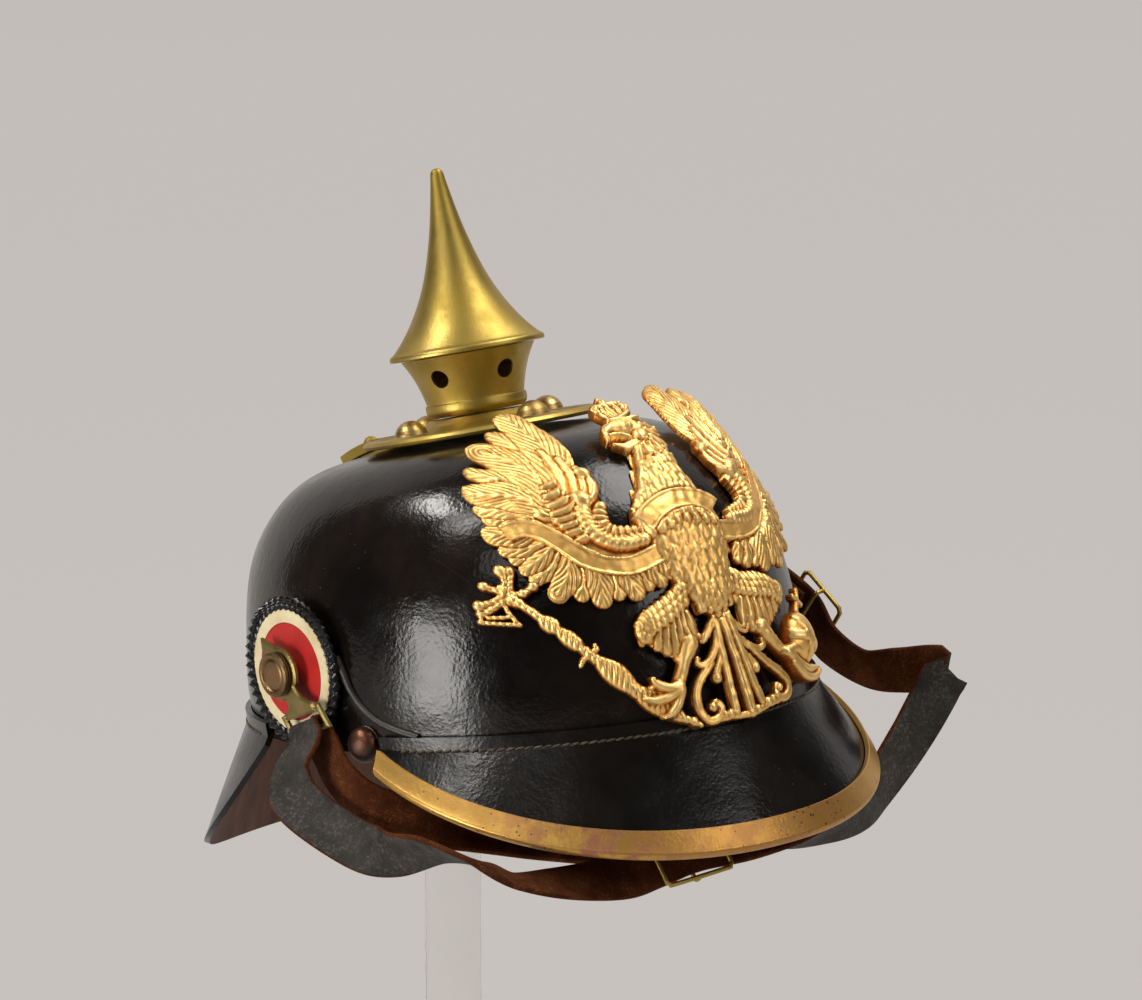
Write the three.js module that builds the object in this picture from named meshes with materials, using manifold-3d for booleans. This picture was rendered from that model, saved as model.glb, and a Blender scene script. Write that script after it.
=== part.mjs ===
import * as THREE from "three";
import { mergeVertices } from "three/addons/utils/BufferGeometryUtils.js";
import Module from "manifold-3d";

const wasm = await Module();
wasm.setup();

// Seat of the helmet on its stand, millimetres and degrees
const LEAN_BACK = 15.5;
const SEAT_Y = -44;
const SEAT_Z = 206;

// Clearance between neighbouring pieces
const GAP = 0.35;

// Leather skull, walls and rim line
const SKULL_WALL = 2.2;
const SKULL_AROUND = 32;
const RIM_AXIS_Z = 7;
const RIM_RISE = 0.11;
const BAND_HIGH = 6;
const WALL_HALF = 86.9;
const WALL_FRONT = 107.1;
const WALL_BACK = 104.1;

// Skull sections from the rim up: height, tilt per 100 mm, half width, reach to front and to back
const SKULL_ROWS = [
  { z: RIM_AXIS_Z, tilt: 11, half: 86.3, front: 106.6, back: 103.6 },
  { z: 22, tilt: 6, half: 86.8, front: 107, back: 104 },
  { z: 38, tilt: 2, half: 85.4, front: 105.5, back: 103 },
  { z: 54, tilt: 0, half: 82.9, front: 102, back: 100.5 },
  { z: 68, tilt: 0, half: 78.6, front: 96.5, back: 96 },
  { z: 79, tilt: 0, half: 72.6, front: 89, back: 90 },
  { z: 88, tilt: 0, half: 64.3, front: 78.5, back: 81 },
  { z: 94, tilt: 0, half: 54.5, front: 66, back: 69.5 },
  { z: 97.5, tilt: 0, half: 42, front: 50, back: 53 },
  { z: 99.2, tilt: 0, half: 26, front: 31, back: 32 },
];
const CROWN_Z = 99.8;

// Visors: fold below the sewn band, slope below level, depth at the middle and at the ends
const VISOR_WALL = 2;
const SEWN_BAND = 4.5;
const FRONT_VISOR = { end: 74, steps: 24, slope: 70.5, endSlope: 52, deep: 47.5, endDeep: 9.5, power: 3 };
const REAR_VISOR = { end: 71, steps: 22, slope: 62, endSlope: 58, deep: 52, endDeep: 3, power: 4.4 };

// Brass trim of the front visor and its end rivets
const TRIM = { wide: 9.2, under: 4.5, wall: 0.8 };
const RIVET = { radius: 6, high: 5.2, off: 0.1, y: -21.6, z: 7.7 };

// Spike base, studs, neck and spike
const BASE_RADIUS = 40.8;
const BASE_Z = 100.2;
const STUD = { radius: 5.7, high: 5, ring: 29.5, z: 103.2 };
const NECK_Z = 107;
const NECK_WALL = 1;
const VENT = { count: 5, radius: 3.3, z: 120 };
const SPIKE_Z = 127.95;
const SPIKE_TIP_Z = 190.5;

// Rear spine and its vent slide
const SPINE = { half: 6.5, thick: 1, top: 8.55, bottom: 0.98, steps: 16 };
const SLIDE = { half: 7.5, lift: 0.6, high: 3.4, from: 6.9, to: 8.05, steps: 5 };
const SLIDE_KNOB = { radius: 3, high: 3.6 };

// Cockades, side posts and strap lugs
const SIDE = { y: 8, z: 34 };
const COCKADE = { inner: 87.5, thick: 2.1, teeth: 22, tip: 25, root: 23.4 };
const POST = { stem: 3.6, button: 7.5, stemOut: 94.4, out: 98.4 };
const LUG = { near: 92.5, thick: 1.5, ring: 9, hole: 4.7, reach: 22.8, half: 11, bar: 2, slot: 5 };
const LUG_TURN_RIGHT = 30.8;
const LUG_TURN_LEFT = 88;

// Chin strap and its sliders
const STRAP_WIDE = 16.5;
const STRAP_THICK = 1.8;
const STRAP_STEP = 9;
const SLIDER = { long: 27, tall: 21.5, bar: 1.6, gate: 1.4, deep: 5.4 };

// Stand
const STAND = { base: 180, baseHigh: 10, post: 10, pad: 24, padTop: 95.3, padHigh: 5, sides: 24 };

const leatherBlack = new THREE.MeshStandardMaterial({ color: 0x15130f, roughness: 0.3, metalness: 0 });
const leatherVisor = new THREE.MeshStandardMaterial({ color: 0x17140f, roughness: 0.28, metalness: 0 });
const leatherStrap = new THREE.MeshStandardMaterial({ color: 0x2c2522, roughness: 0.7, metalness: 0 });
const oldBrass = new THREE.MeshStandardMaterial({ color: 0x96782c, roughness: 0.35, metalness: 1 });
const trimBrass = new THREE.MeshStandardMaterial({ color: 0xb4822c, roughness: 0.4, metalness: 1 });
const giltBrass = new THREE.MeshStandardMaterial({ color: 0xe6a83c, roughness: 0.28, metalness: 1 });
const copperBrown = new THREE.MeshStandardMaterial({ color: 0x5a3c2c, roughness: 0.4, metalness: 0.8 });
const bronze = new THREE.MeshStandardMaterial({ color: 0x6e502d, roughness: 0.4, metalness: 0.9 });
const cockadeBlack = new THREE.MeshStandardMaterial({ color: 0x1a1a18, roughness: 0.5, metalness: 0 });
const acrylic = new THREE.MeshStandardMaterial({
  color: 0xf2f2f0, roughness: 0.05, metalness: 0, transparent: true, opacity: 0.3,
});

const object = new THREE.Group();
object.name = "pickelhaube";
const seat = new THREE.Matrix4().makeRotationX(THREE.MathUtils.degToRad(-LEAN_BACK));
seat.setPosition(0, SEAT_Y, SEAT_Z);

const rad = THREE.MathUtils.degToRad;
const vec = (x, y, z) => new THREE.Vector3(x, y, z);

function meshOf(points, faces) {
  const geometry = new THREE.BufferGeometry();
  const flat = new Float32Array(points.length * 3);
  points.forEach((p, i) => p.toArray(flat, i * 3));
  geometry.setAttribute("position", new THREE.BufferAttribute(flat, 3));
  geometry.setIndex(faces.flat());
  return faceOut(geometry);
}

function faceOut(geometry) {
  const p = geometry.getAttribute("position");
  const index = geometry.getIndex();
  const a = vec(0, 0, 0);
  const b = vec(0, 0, 0);
  const c = vec(0, 0, 0);
  let volume = 0;
  for (let i = 0; i < index.count; i += 3) {
    a.fromBufferAttribute(p, index.getX(i));
    b.fromBufferAttribute(p, index.getX(i + 1));
    c.fromBufferAttribute(p, index.getX(i + 2));
    volume += a.dot(b.cross(c));
  }
  if (volume < 0) {
    for (let i = 0; i < index.count; i += 3) {
      const keep = index.getX(i);
      index.setX(i, index.getX(i + 1));
      index.setX(i + 1, keep);
    }
  }
  return geometry;
}

// Rings of equal count joined in order, with flat fans on both ends or joined end to start
function loft(rings, joined = false) {
  const n = rings[0].length;
  const points = rings.flat();
  const faces = [];
  const spans = joined ? rings.length : rings.length - 1;
  for (let i = 0; i < spans; i += 1) {
    const here = i * n;
    const next = ((i + 1) % rings.length) * n;
    for (let k = 0; k < n; k += 1) {
      const m = (k + 1) % n;
      faces.push([here + k, here + m, next + m], [here + k, next + m, next + k]);
    }
  }
  if (!joined) {
    const last = (rings.length - 1) * n;
    for (let k = 1; k < n - 1; k += 1) {
      faces.push([0, k + 1, k], [last, last + k, last + k + 1]);
    }
  }
  return meshOf(points, faces);
}

// A closed profile of radius and height turned about the upright axis
function turned(profile, around) {
  const rings = [];
  for (let k = 0; k < around; k += 1) {
    const a = (k / around) * Math.PI * 2;
    rings.push(profile.map(([r, z]) => vec(r * Math.cos(a), r * Math.sin(a), z)));
  }
  const geometry = loft(rings, true);
  const welded = mergeVertices(geometry, 1e-5);
  const index = welded.getIndex();
  const kept = [];
  for (let i = 0; i < index.count; i += 3) {
    const tri = [index.getX(i), index.getX(i + 1), index.getX(i + 2)];
    if (tri[0] !== tri[1] && tri[1] !== tri[2] && tri[2] !== tri[0]) {
      kept.push(...tri);
    }
  }
  welded.setIndex(kept);
  return faceOut(welded);
}

function box(x, y, z, cx = 0, cy = 0, cz = 0) {
  const geometry = new THREE.BoxGeometry(x, y, z);
  geometry.translate(cx, cy, cz);
  return geometry;
}

function toSolid(geometry) {
  const bare = geometry.clone();
  bare.deleteAttribute("normal");
  bare.deleteAttribute("uv");
  const welded = mergeVertices(bare, 1e-5);
  const mesh = new wasm.Mesh({
    numProp: 3,
    vertProperties: new Float32Array(welded.getAttribute("position").array),
    triVerts: new Uint32Array(welded.getIndex().array),
  });
  return new wasm.Manifold(mesh);
}

function fromSolid(solid) {
  const mesh = solid.getMesh();
  const geometry = new THREE.BufferGeometry();
  geometry.setAttribute("position", new THREE.BufferAttribute(new Float32Array(mesh.vertProperties), 3));
  geometry.setIndex(Array.from(mesh.triVerts));
  return geometry;
}

function joinAll(list) {
  return fromSolid(list.map(toSolid).reduce((sum, next) => sum.add(next)));
}

function addPiece(name, geometry, material, matrix = seat) {
  const placed = geometry.clone();
  if (matrix) {
    placed.applyMatrix4(matrix);
  }
  placed.computeVertexNormals();
  const mesh = new THREE.Mesh(placed, material);
  mesh.name = name;
  object.add(mesh);
}

// Smooth value through table rows at a fractional row number
function along(rows, key, u) {
  const last = rows.length - 1;
  const i = Math.min(Math.max(Math.floor(u), 0), last - 1);
  const f = u - i;
  const at = (k) => rows[Math.min(Math.max(k, 0), last)][key];
  const slopeA = i === 0 ? at(1) - at(0) : (at(i + 1) - at(i - 1)) / 2;
  const slopeB = i === last - 1 ? at(last) - at(last - 1) : (at(i + 2) - at(i)) / 2;
  const f2 = f * f;
  const f3 = f2 * f;
  return at(i) * (2 * f3 - 3 * f2 + 1) + slopeA * (f3 - 2 * f2 + f)
    + at(i + 1) * (3 * f2 - 2 * f3) + slopeB * (f3 - f2);
}

// Point of the skull at row u and angle a, 0 at the front and positive to the wearer's left
function skullPoint(u, a, inset = 0) {
  const half = along(SKULL_ROWS, "half", u);
  const reach = Math.cos(a) > 0 ? along(SKULL_ROWS, "front", u) : along(SKULL_ROWS, "back", u);
  const z = along(SKULL_ROWS, "z", u);
  const du = 0.02;
  const dr = along(SKULL_ROWS, "half", u + du) - along(SKULL_ROWS, "half", u - du);
  const dz = along(SKULL_ROWS, "z", u + du) - along(SKULL_ROWS, "z", u - du);
  const size = Math.hypot(dr, dz);
  const outR = dz / size;
  const outZ = -dr / size;
  const x = (half - inset * outR) * Math.sin(a);
  const y = -(reach - inset * outR) * Math.cos(a);
  return vec(x, y, z + (along(SKULL_ROWS, "tilt", u) / 100) * y - inset * outZ);
}

function skull() {
  const points = [];
  const faces = [];
  const n = SKULL_AROUND;
  const rows = SKULL_ROWS.length;
  for (const inset of [0, SKULL_WALL]) {
    for (let i = 0; i < rows; i += 1) {
      for (let k = 0; k < n; k += 1) {
        points.push(skullPoint(i, (k / n) * Math.PI * 2, inset));
      }
    }
    points.push(vec(0, 0, CROWN_Z - inset));
  }
  const inner = rows * n + 1;
  for (const start of [0, inner]) {
    const turn = (tri) => faces.push(start === 0 ? tri : [tri[0], tri[2], tri[1]]);
    for (let k = 0; k < n; k += 1) {
      const m = (k + 1) % n;
      for (let i = 0; i < rows - 1; i += 1) {
        turn([start + i * n + k, start + i * n + m, start + (i + 1) * n + m]);
        turn([start + i * n + k, start + (i + 1) * n + m, start + (i + 1) * n + k]);
      }
      turn([start + (rows - 1) * n + k, start + (rows - 1) * n + m, start + rows * n]);
    }
  }
  for (let k = 0; k < n; k += 1) {
    const m = (k + 1) % n;
    faces.push([k, inner + k, inner + m], [k, inner + m, m]);
  }
  return meshOf(points, faces);
}

// Wall line of the sewn band at angle a from the visor's own middle: point, outward way, band top
function wallAt(a, rear) {
  const reach = rear ? WALL_BACK : WALL_FRONT;
  const sign = rear ? 1 : -1;
  const x = WALL_HALF * Math.sin(a);
  const y = sign * reach * Math.cos(a);
  const out = vec(Math.sin(a) / WALL_HALF, (sign * Math.cos(a)) / reach, 0).normalize();
  return { x, y, out, top: RIM_AXIS_Z + BAND_HIGH + RIM_RISE * y };
}

function visorAt(spec, share, rear) {
  const t = Math.abs(share);
  const a = rad(spec.end * share);
  const wall = wallAt(a, rear);
  const slope = rad(spec.slope + (spec.endSlope - spec.slope) * t * t);
  const deep = spec.deep + (spec.endDeep - spec.deep) * t ** spec.power;
  const at = (o, z) => vec(wall.x + wall.out.x * o, wall.y + wall.out.y * o, wall.top + z);
  return { wall, slope, deep, at };
}

function visor(spec, rear) {
  const rings = [];
  for (let i = 0; i <= spec.steps; i += 1) {
    const v = visorAt(spec, (i / spec.steps) * 2 - 1, rear);
    const c = Math.cos(v.slope);
    const s = Math.sin(v.slope);
    const face = GAP + VISOR_WALL;
    const mid = v.deep - Math.min(TRIM.wide, v.deep - 0.6);
    const foldIn = SEWN_BAND + VISOR_WALL * c - ((VISOR_WALL - VISOR_WALL * s) / c) * s;
    rings.push([
      v.at(face, 0),
      v.at(face, -SEWN_BAND),
      v.at(face + mid * c, -SEWN_BAND - mid * s),
      v.at(face + v.deep * c, -SEWN_BAND - v.deep * s),
      v.at(face + v.deep * c - VISOR_WALL * s, -SEWN_BAND - v.deep * s - VISOR_WALL * c),
      v.at(face + mid * c - VISOR_WALL * s, -SEWN_BAND - mid * s - VISOR_WALL * c),
      v.at(GAP, -foldIn),
      v.at(GAP, 0),
    ]);
  }
  return loft(rings);
}

function visorTrim() {
  const rings = [];
  for (let i = 0; i <= FRONT_VISOR.steps; i += 1) {
    const v = visorAt(FRONT_VISOR, (i / FRONT_VISOR.steps) * 2 - 1, false);
    const c = Math.cos(v.slope);
    const s = Math.sin(v.slope);
    const wide = Math.min(TRIM.wide, v.deep - 0.6);
    const under = Math.min(TRIM.under, wide - 0.4);
    const lip = GAP + TRIM.wall;
    const at = (down, lift) => v.at(
      GAP + VISOR_WALL + down * c + lift * s,
      -SEWN_BAND - down * s + lift * c,
    );
    const d = v.deep;
    rings.push([
      at(d - wide, GAP),
      at(d - wide, lip),
      at(d + lip * 0.55, lip),
      at(d + lip, lip * 0.45),
      at(d + lip, -VISOR_WALL - lip * 0.45),
      at(d + lip * 0.55, -VISOR_WALL - lip),
      at(d - under, -VISOR_WALL - lip),
      at(d - under, -VISOR_WALL - GAP),
      at(d + GAP, -VISOR_WALL - GAP),
      at(d + GAP, GAP),
    ].reverse());
  }
  return loft(rings);
}

// A dome with a flat foot: turned about its own axis, then set on a point along a way
function dome(radius, high, around, rings = 3) {
  const profile = [[0, 0]];
  for (let i = 0; i <= rings; i += 1) {
    const a = (i / rings) * (Math.PI / 2);
    profile.push([i === rings ? 0 : radius * Math.cos(a), high * Math.sin(a)]);
  }
  return turned(profile, around);
}

function setOn(geometry, point, way) {
  const turn = new THREE.Quaternion().setFromUnitVectors(vec(0, 0, 1), way.clone().normalize());
  const placed = geometry.clone();
  placed.applyQuaternion(turn);
  placed.translate(point.x, point.y, point.z);
  return placed;
}

function spikeBase() {
  const rim = BASE_RADIUS;
  const z = BASE_Z;
  return turned([
    [10, z + 5], [10, z + 6.3], [17, z + 6.2], [19.4, z + 4.2], [22.6, z + 2.7],
    [36.4, z + 2], [38.2, z + 2.7], [40, z + 2.3], [rim, z + 1.2],
    [39.6, z], [36.6, z + 0.6], [27.4, z + 1.2], [27, z - 0.5], [23.4, z - 0.5],
    [22.2, z + 1.6], [17.6, z + 4.4],
  ], 22);
}

function neck() {
  const z = NECK_Z;
  const w = NECK_WALL;
  const outer = [
    [15.8, z], [17.2, z + 1.6], [17.3, z + 4.2], [16.8, z + 5],
    [18.4, z + 11], [20.4, z + 16], [22.9, z + 20.6],
  ];
  const inner = [[22.9 - w, z + 20.6], [19.4, z + 16], [16.2, z + 7], [15.8 - w, z]];
  const profile = [...outer, ...inner];
  const vents = [];
  for (let k = 0; k < VENT.count; k += 1) {
    const a = (k / VENT.count) * Math.PI * 2 - Math.PI / 2;
    const hole = new THREE.CylinderGeometry(VENT.radius, VENT.radius, 12, 8);
    hole.rotateX(Math.PI / 2);
    const way = vec(Math.cos(a), Math.sin(a), -0.28).normalize();
    vents.push(setOn(hole, vec(19.6 * Math.cos(a), 19.6 * Math.sin(a), VENT.z), way));
  }
  const body = toSolid(turned(profile, 18));
  return fromSolid(vents.reduce((rest, hole) => rest.subtract(toSolid(hole)), body));
}

function spike() {
  const z = SPIKE_Z;
  const rows = [
    [26.3, z], [26.4, z + 1.6], [24.6, z + 3], [20.6, z + 7.6], [16.2, z + 14.2],
    [12, z + 22.4], [8.6, z + 31.8], [5.4, z + 43.8], [2.9, z + 56.6], [2.2, z + 60.8],
  ];
  const tip = [[1.2, SPIKE_TIP_Z - 0.4], [0, SPIKE_TIP_Z]];
  const inner = [[0, z + 48], [6, z + 34], [13, z + 17], [21.6, z + 1.2], [21.6, z]];
  return turned([...rows, ...tip, ...inner], 24);
}

// Strip lying on the skull along its back line, between row numbers, at a lift off the leather
function backStrip(from, to, steps, half, low, high) {
  const rings = [];
  for (let i = 0; i <= steps; i += 1) {
    const u = from + (to - from) * (i / steps);
    const ring = [];
    for (const [side, lift] of [[-1, low], [-1, high], [1, high], [1, low]]) {
      const p = skullPoint(u, Math.PI, -lift);
      ring.push(vec(side * half, p.y, p.z));
    }
    rings.push(ring);
  }
  return loft(rings);
}

function ventSlide() {
  const low = GAP + SPINE.thick + SLIDE.lift;
  const body = backStrip(SLIDE.from, SLIDE.to, SLIDE.steps, SLIDE.half, low, low + SLIDE.high);
  const u = (SLIDE.from + SLIDE.to) / 2;
  const foot = skullPoint(u, Math.PI, -(low + SLIDE.high - 0.6));
  const head = skullPoint(u, Math.PI, -(low + SLIDE.high + 4));
  const knob = setOn(dome(SLIDE_KNOB.radius, SLIDE_KNOB.high, 14), foot, head.clone().sub(foot));
  return joinAll([body, knob]);
}

function cockade(side) {
  const ring = [];
  const n = COCKADE.teeth * 2;
  for (let k = 0; k < n; k += 1) {
    const a = (k / n) * Math.PI * 2;
    const r = k % 2 ? COCKADE.tip : COCKADE.root;
    ring.push([SIDE.y + r * Math.cos(a), SIDE.z + r * Math.sin(a)]);
  }
  const near = COCKADE.inner * side;
  const far = (COCKADE.inner + COCKADE.thick) * side;
  return loft([ring.map(([y, z]) => vec(near, y, z)), ring.map(([y, z]) => vec(far, y, z))]);
}

function sidePost(side) {
  const start = COCKADE.inner + COCKADE.thick + GAP;
  const profile = [
    [0, start], [POST.stem, start], [POST.stem, POST.stemOut], [POST.button - 0.6, POST.stemOut],
    [POST.button, POST.stemOut + 0.7], [POST.button, POST.out - 2.2], [POST.button - 1.2, POST.out - 1.2],
    [POST.button - 2.6, POST.out - 1.6], [3, POST.out], [0, POST.out],
  ];
  return setOn(turned(profile, 12), vec(0, SIDE.y, SIDE.z), vec(side, 0, 0));
}

// Lug in its own plane: ring at the origin, strap bar hanging below it
function lug(side, turnForward) {
  const shape = new THREE.Shape();
  const bottom = -LUG.reach - LUG.bar / 2;
  const slotTop = bottom + LUG.bar + LUG.slot;
  shape.moveTo(-LUG.half, bottom);
  shape.lineTo(LUG.half, bottom);
  shape.lineTo(LUG.half, slotTop + 2.2);
  shape.quadraticCurveTo(4.5, slotTop + 3, 4.2, -LUG.ring + 1.5);
  shape.absarc(0, 0, LUG.ring, rad(-62), rad(60), false);
  shape.lineTo(0, LUG.ring + 5.5);
  shape.absarc(0, 0, LUG.ring, rad(120), rad(242), false);
  shape.quadraticCurveTo(-4.5, slotTop + 3, -LUG.half, slotTop + 2.2);
  shape.closePath();
  const hole = new THREE.Path();
  hole.absarc(0, 0, LUG.hole, 0, Math.PI * 2, true);
  const slot = new THREE.Path();
  slot.moveTo(-LUG.half + 2, bottom + LUG.bar);
  slot.lineTo(-LUG.half + 2, slotTop);
  slot.lineTo(LUG.half - 2, slotTop);
  slot.lineTo(LUG.half - 2, bottom + LUG.bar);
  slot.closePath();
  shape.holes.push(hole, slot);
  const sweep = { depth: LUG.thick, bevelEnabled: false, curveSegments: 3 };
  const plate = new THREE.ExtrudeGeometry(shape, sweep);
  const c = Math.cos(rad(turnForward));
  const s = Math.sin(rad(turnForward));
  const place = new THREE.Matrix4().makeBasis(
    vec(0, -c * side, s * side).multiplyScalar(-side),
    vec(0, s, c),
    vec(side, 0, 0),
  );
  place.setPosition(LUG.near * side, SIDE.y, SIDE.z);
  plate.applyMatrix4(place);
  plate.deleteAttribute("normal");
  plate.deleteAttribute("uv");
  return faceOut(mergeVertices(plate, 1e-4));
}

// Chin strap stations: middle of the band and the way to its upper edge, from the front slider's bar
// round the right lug, across below the visor, over the crease and round the left lug
const STRAP_ROWS = [
  { x: -18, y: -88.6, z: -50.6, wx: 0, wy: 0.4, wz: 0.92 },
  { x: -25, y: -86.6, z: -49.8, wx: 0, wy: 0.4, wz: 0.92 },
  { x: -40, y: -77, z: -44, wx: 0, wy: 0.15, wz: 1 },
  { x: -58, y: -60, z: -34, wx: 0, wy: 0, wz: 1 },
  { x: -76, y: -45, z: -25, wx: 0, wy: -0.1, wz: 1 },
  { x: -85.5, y: -31.5, z: -17, wx: 0, wy: -0.3, wz: 0.95 },
  { x: -90.6, y: -23, z: -10.4, wx: 0, wy: -0.5, wz: 0.87 },
  { x: -92.4, y: -14, z: -1.5, wx: 0, wy: -0.7, wz: 0.71 },
  { x: -91.6, y: -8.4, z: 6.6, wx: 0, wy: -0.83, wz: 0.55 },
  { x: -91.2, y: -5.2, z: 11.8, wx: 0, wy: -0.859, wz: 0.512 },
  { x: -91.2, y: -3.7, z: 14.4, wx: 0, wy: -0.859, wz: 0.512 },
  { x: -91.8, y: -2.6, z: 16.3, wx: 0, wy: -0.859, wz: 0.512 },
  { x: -93.3, y: -2.1, z: 17, wx: 0, wy: -0.859, wz: 0.512 },
  { x: -94.8, y: -2.6, z: 16.3, wx: 0, wy: -0.859, wz: 0.512 },
  { x: -95.5, y: -3.7, z: 14.4, wx: 0, wy: -0.859, wz: 0.512 },
  { x: -96.4, y: -5, z: 11.6, wx: 0, wy: -0.859, wz: 0.512 },
  { x: -99.4, y: -4.6, z: 2.6, wx: -0.05, wy: -0.9, wz: 0.42 },
  { x: -103, y: -8, z: -9.5, wx: -0.1, wy: -0.8, wz: 0.58 },
  { x: -103, y: -23, z: -21.8, wx: -0.25, wy: -0.45, wz: 0.85 },
  { x: -100.5, y: -42, z: -26.4, wx: -0.45, wy: -0.1, wz: 0.9 },
  { x: -97, y: -64, z: -27, wx: -0.75, wy: 0, wz: 0.65 },
  { x: -92.5, y: -79.5, z: -32.6, wx: -0.9, wy: -0.25, wz: 0.4 },
  { x: -83, y: -87, z: -41, wx: -0.7, wy: -0.7, wz: -0.05 },
  { x: -66, y: -88.5, z: -46.4, wx: -0.25, wy: -0.85, wz: -0.4 },
  { x: -46, y: -90.4, z: -48, wx: 0, wy: -0.7, wz: -0.7 },
  { x: -33, y: -91.6, z: -48.6, wx: 0, wy: -0.4, wz: -0.92 },
  { x: -18.5, y: -93, z: -49.3, wx: 0, wy: -0.4, wz: -0.92 },
  { x: -4, y: -94.3, z: -50, wx: 0, wy: -0.4, wz: -0.92 },
  { x: 22, y: -96, z: -51.5, wx: 0, wy: -1, wz: 0.1 },
  { x: 44, y: -94, z: -51.4, wx: 0, wy: -0.75, wz: 0.65 },
  { x: 64, y: -88, z: -50, wx: -0.1, wy: -0.3, wz: 0.95 },
  { x: 82, y: -78, z: -44.5, wx: -0.3, wy: -0.1, wz: 0.95 },
  { x: 102, y: -76, z: -29, wx: -0.5, wy: 0.1, wz: 0.85 },
  { x: 112.4, y: -82, z: -12, wx: -0.4, wy: 0.1, wz: 0.9 },
  { x: 115.4, y: -83.6, z: -7.6, wx: -0.25, wy: 0.1, wz: 0.95 },
  { x: 113.8, y: -79, z: -6.2, wx: -0.1, wy: 0, wz: 1 },
  { x: 109.6, y: -67, z: -4.8, wx: 0, wy: 0, wz: 1 },
  { x: 106.6, y: -55, z: -1.6, wx: 0, wy: -0.35, wz: 0.93 },
  { x: 102.6, y: -45.4, z: 8.2, wx: 0, wy: -0.715, wz: 0.7 },
  { x: 100.2, y: -35.2, z: 18.4, wx: 0, wy: -0.715, wz: 0.7 },
  { x: 97.8, y: -25, z: 28.6, wx: 0, wy: -0.7, wz: 0.71 },
  { x: 95.4, y: -17.6, z: 33, wx: 0, wy: -0.1, wz: 1 },
  { x: 95.3, y: -14.6, z: 33.3, wx: 0, wy: -0.035, wz: 1 },
  { x: 94.8, y: -12.8, z: 33.4, wx: 0, wy: -0.035, wz: 1 },
  { x: 93.3, y: -12.1, z: 33.4, wx: 0, wy: -0.035, wz: 1 },
  { x: 91.8, y: -12.8, z: 33.4, wx: 0, wy: -0.035, wz: 1 },
  { x: 91.2, y: -14.6, z: 33.3, wx: 0, wy: -0.035, wz: 1 },
  { x: 91.4, y: -18, z: 32.8, wx: 0, wy: -0.1, wz: 1 },
  { x: 93.6, y: -25, z: 28, wx: 0, wy: -0.7, wz: 0.71 },
  { x: 95.6, y: -34, z: 19.4, wx: 0, wy: -0.715, wz: 0.7 },
];
const FRONT_SLIDER_ROW = 26;
const LEFT_SLIDER_ROW = 39;

function strapPoint(u) {
  return vec(along(STRAP_ROWS, "x", u), along(STRAP_ROWS, "y", u), along(STRAP_ROWS, "z", u));
}

function strapFrame(u) {
  const last = STRAP_ROWS.length - 1;
  const before = strapPoint(Math.max(u - 0.05, 0));
  const after = strapPoint(Math.min(u + 0.05, last));
  const way = after.sub(before).normalize();
  const wide = vec(along(STRAP_ROWS, "wx", u), along(STRAP_ROWS, "wy", u), along(STRAP_ROWS, "wz", u));
  wide.addScaledVector(way, -wide.dot(way)).normalize();
  return { at: strapPoint(u), way, wide, grain: vec(0, 0, 0).crossVectors(way, wide) };
}

function strap() {
  const rings = [];
  for (let i = 0; i < STRAP_ROWS.length - 1; i += 1) {
    const span = strapPoint(i).distanceTo(strapPoint(i + 1));
    const cuts = Math.max(1, Math.round(span / STRAP_STEP));
    for (let k = 0; k < cuts; k += 1) {
      rings.push(i + k / cuts);
    }
  }
  rings.push(STRAP_ROWS.length - 1);
  return loft(rings.map((u) => {
    const f = strapFrame(u);
    const corner = (w, g) => f.at.clone()
      .addScaledVector(f.wide, (w * STRAP_WIDE) / 2)
      .addScaledVector(f.grain, (g * STRAP_THICK) / 2);
    return [corner(-1, -1), corner(1, -1), corner(1, 1), corner(-1, 1)];
  }));
}

// Slider: two long rails beside the band, end gates over one face and a middle bar behind the other
function slider(row, barSide) {
  const f = strapFrame(row);
  const rail = (SLIDER.tall - SLIDER.bar) / 2;
  const face = STRAP_THICK / 2 + GAP + SLIDER.gate / 2;
  const end = (SLIDER.long - SLIDER.bar) / 2;
  const parts = [
    box(SLIDER.long, SLIDER.bar, SLIDER.deep, 0, rail, 0),
    box(SLIDER.long, SLIDER.bar, SLIDER.deep, 0, -rail, 0),
    box(SLIDER.bar, SLIDER.tall - 0.2, SLIDER.gate, end, 0, -barSide * face),
    box(SLIDER.bar, SLIDER.tall - 0.2, SLIDER.gate, -end, 0, -barSide * face),
    box(SLIDER.bar, SLIDER.tall - 0.2, SLIDER.gate, 0, 0, barSide * face),
  ];
  const geometry = joinAll(parts);
  const place = new THREE.Matrix4().makeBasis(f.way, f.wide, f.grain);
  place.setPosition(f.at);
  geometry.applyMatrix4(place);
  return geometry;
}

// Face of the front plate: height along the plate, its level, reach to the front and half width there
const PLATE_ROWS = [
  { t: 0, z: -3, front: 115.5, half: 98 },
  { t: 22, z: 19, front: 113.5, half: 100 },
  { t: 41, z: 38, front: 110.5, half: 99 },
  { t: 60, z: 56, front: 105.5, half: 95 },
  { t: 73, z: 68, front: 100.5, half: 90 },
  { t: 87.5, z: 80, front: 92.5, half: 80 },
  { t: 105, z: 93, front: 81, half: 66 },
  { t: 125, z: 106, front: 66, half: 52.5 },
  { t: 142, z: 116, front: 52, half: 40 },
];

function plateRow(t) {
  const last = PLATE_ROWS.length - 1;
  let i = 0;
  while (i < last - 1 && t > PLATE_ROWS[i + 1].t) {
    i += 1;
  }
  const span = PLATE_ROWS[i + 1].t - PLATE_ROWS[i].t;
  return i + (t - PLATE_ROWS[i].t) / span;
}

function platePoint(s, t) {
  const u = plateRow(t);
  const half = along(PLATE_ROWS, "half", u);
  const turn = s / half;
  const front = along(PLATE_ROWS, "front", u);
  return vec(half * Math.sin(turn), -front * Math.cos(turn), along(PLATE_ROWS, "z", u));
}

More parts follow.
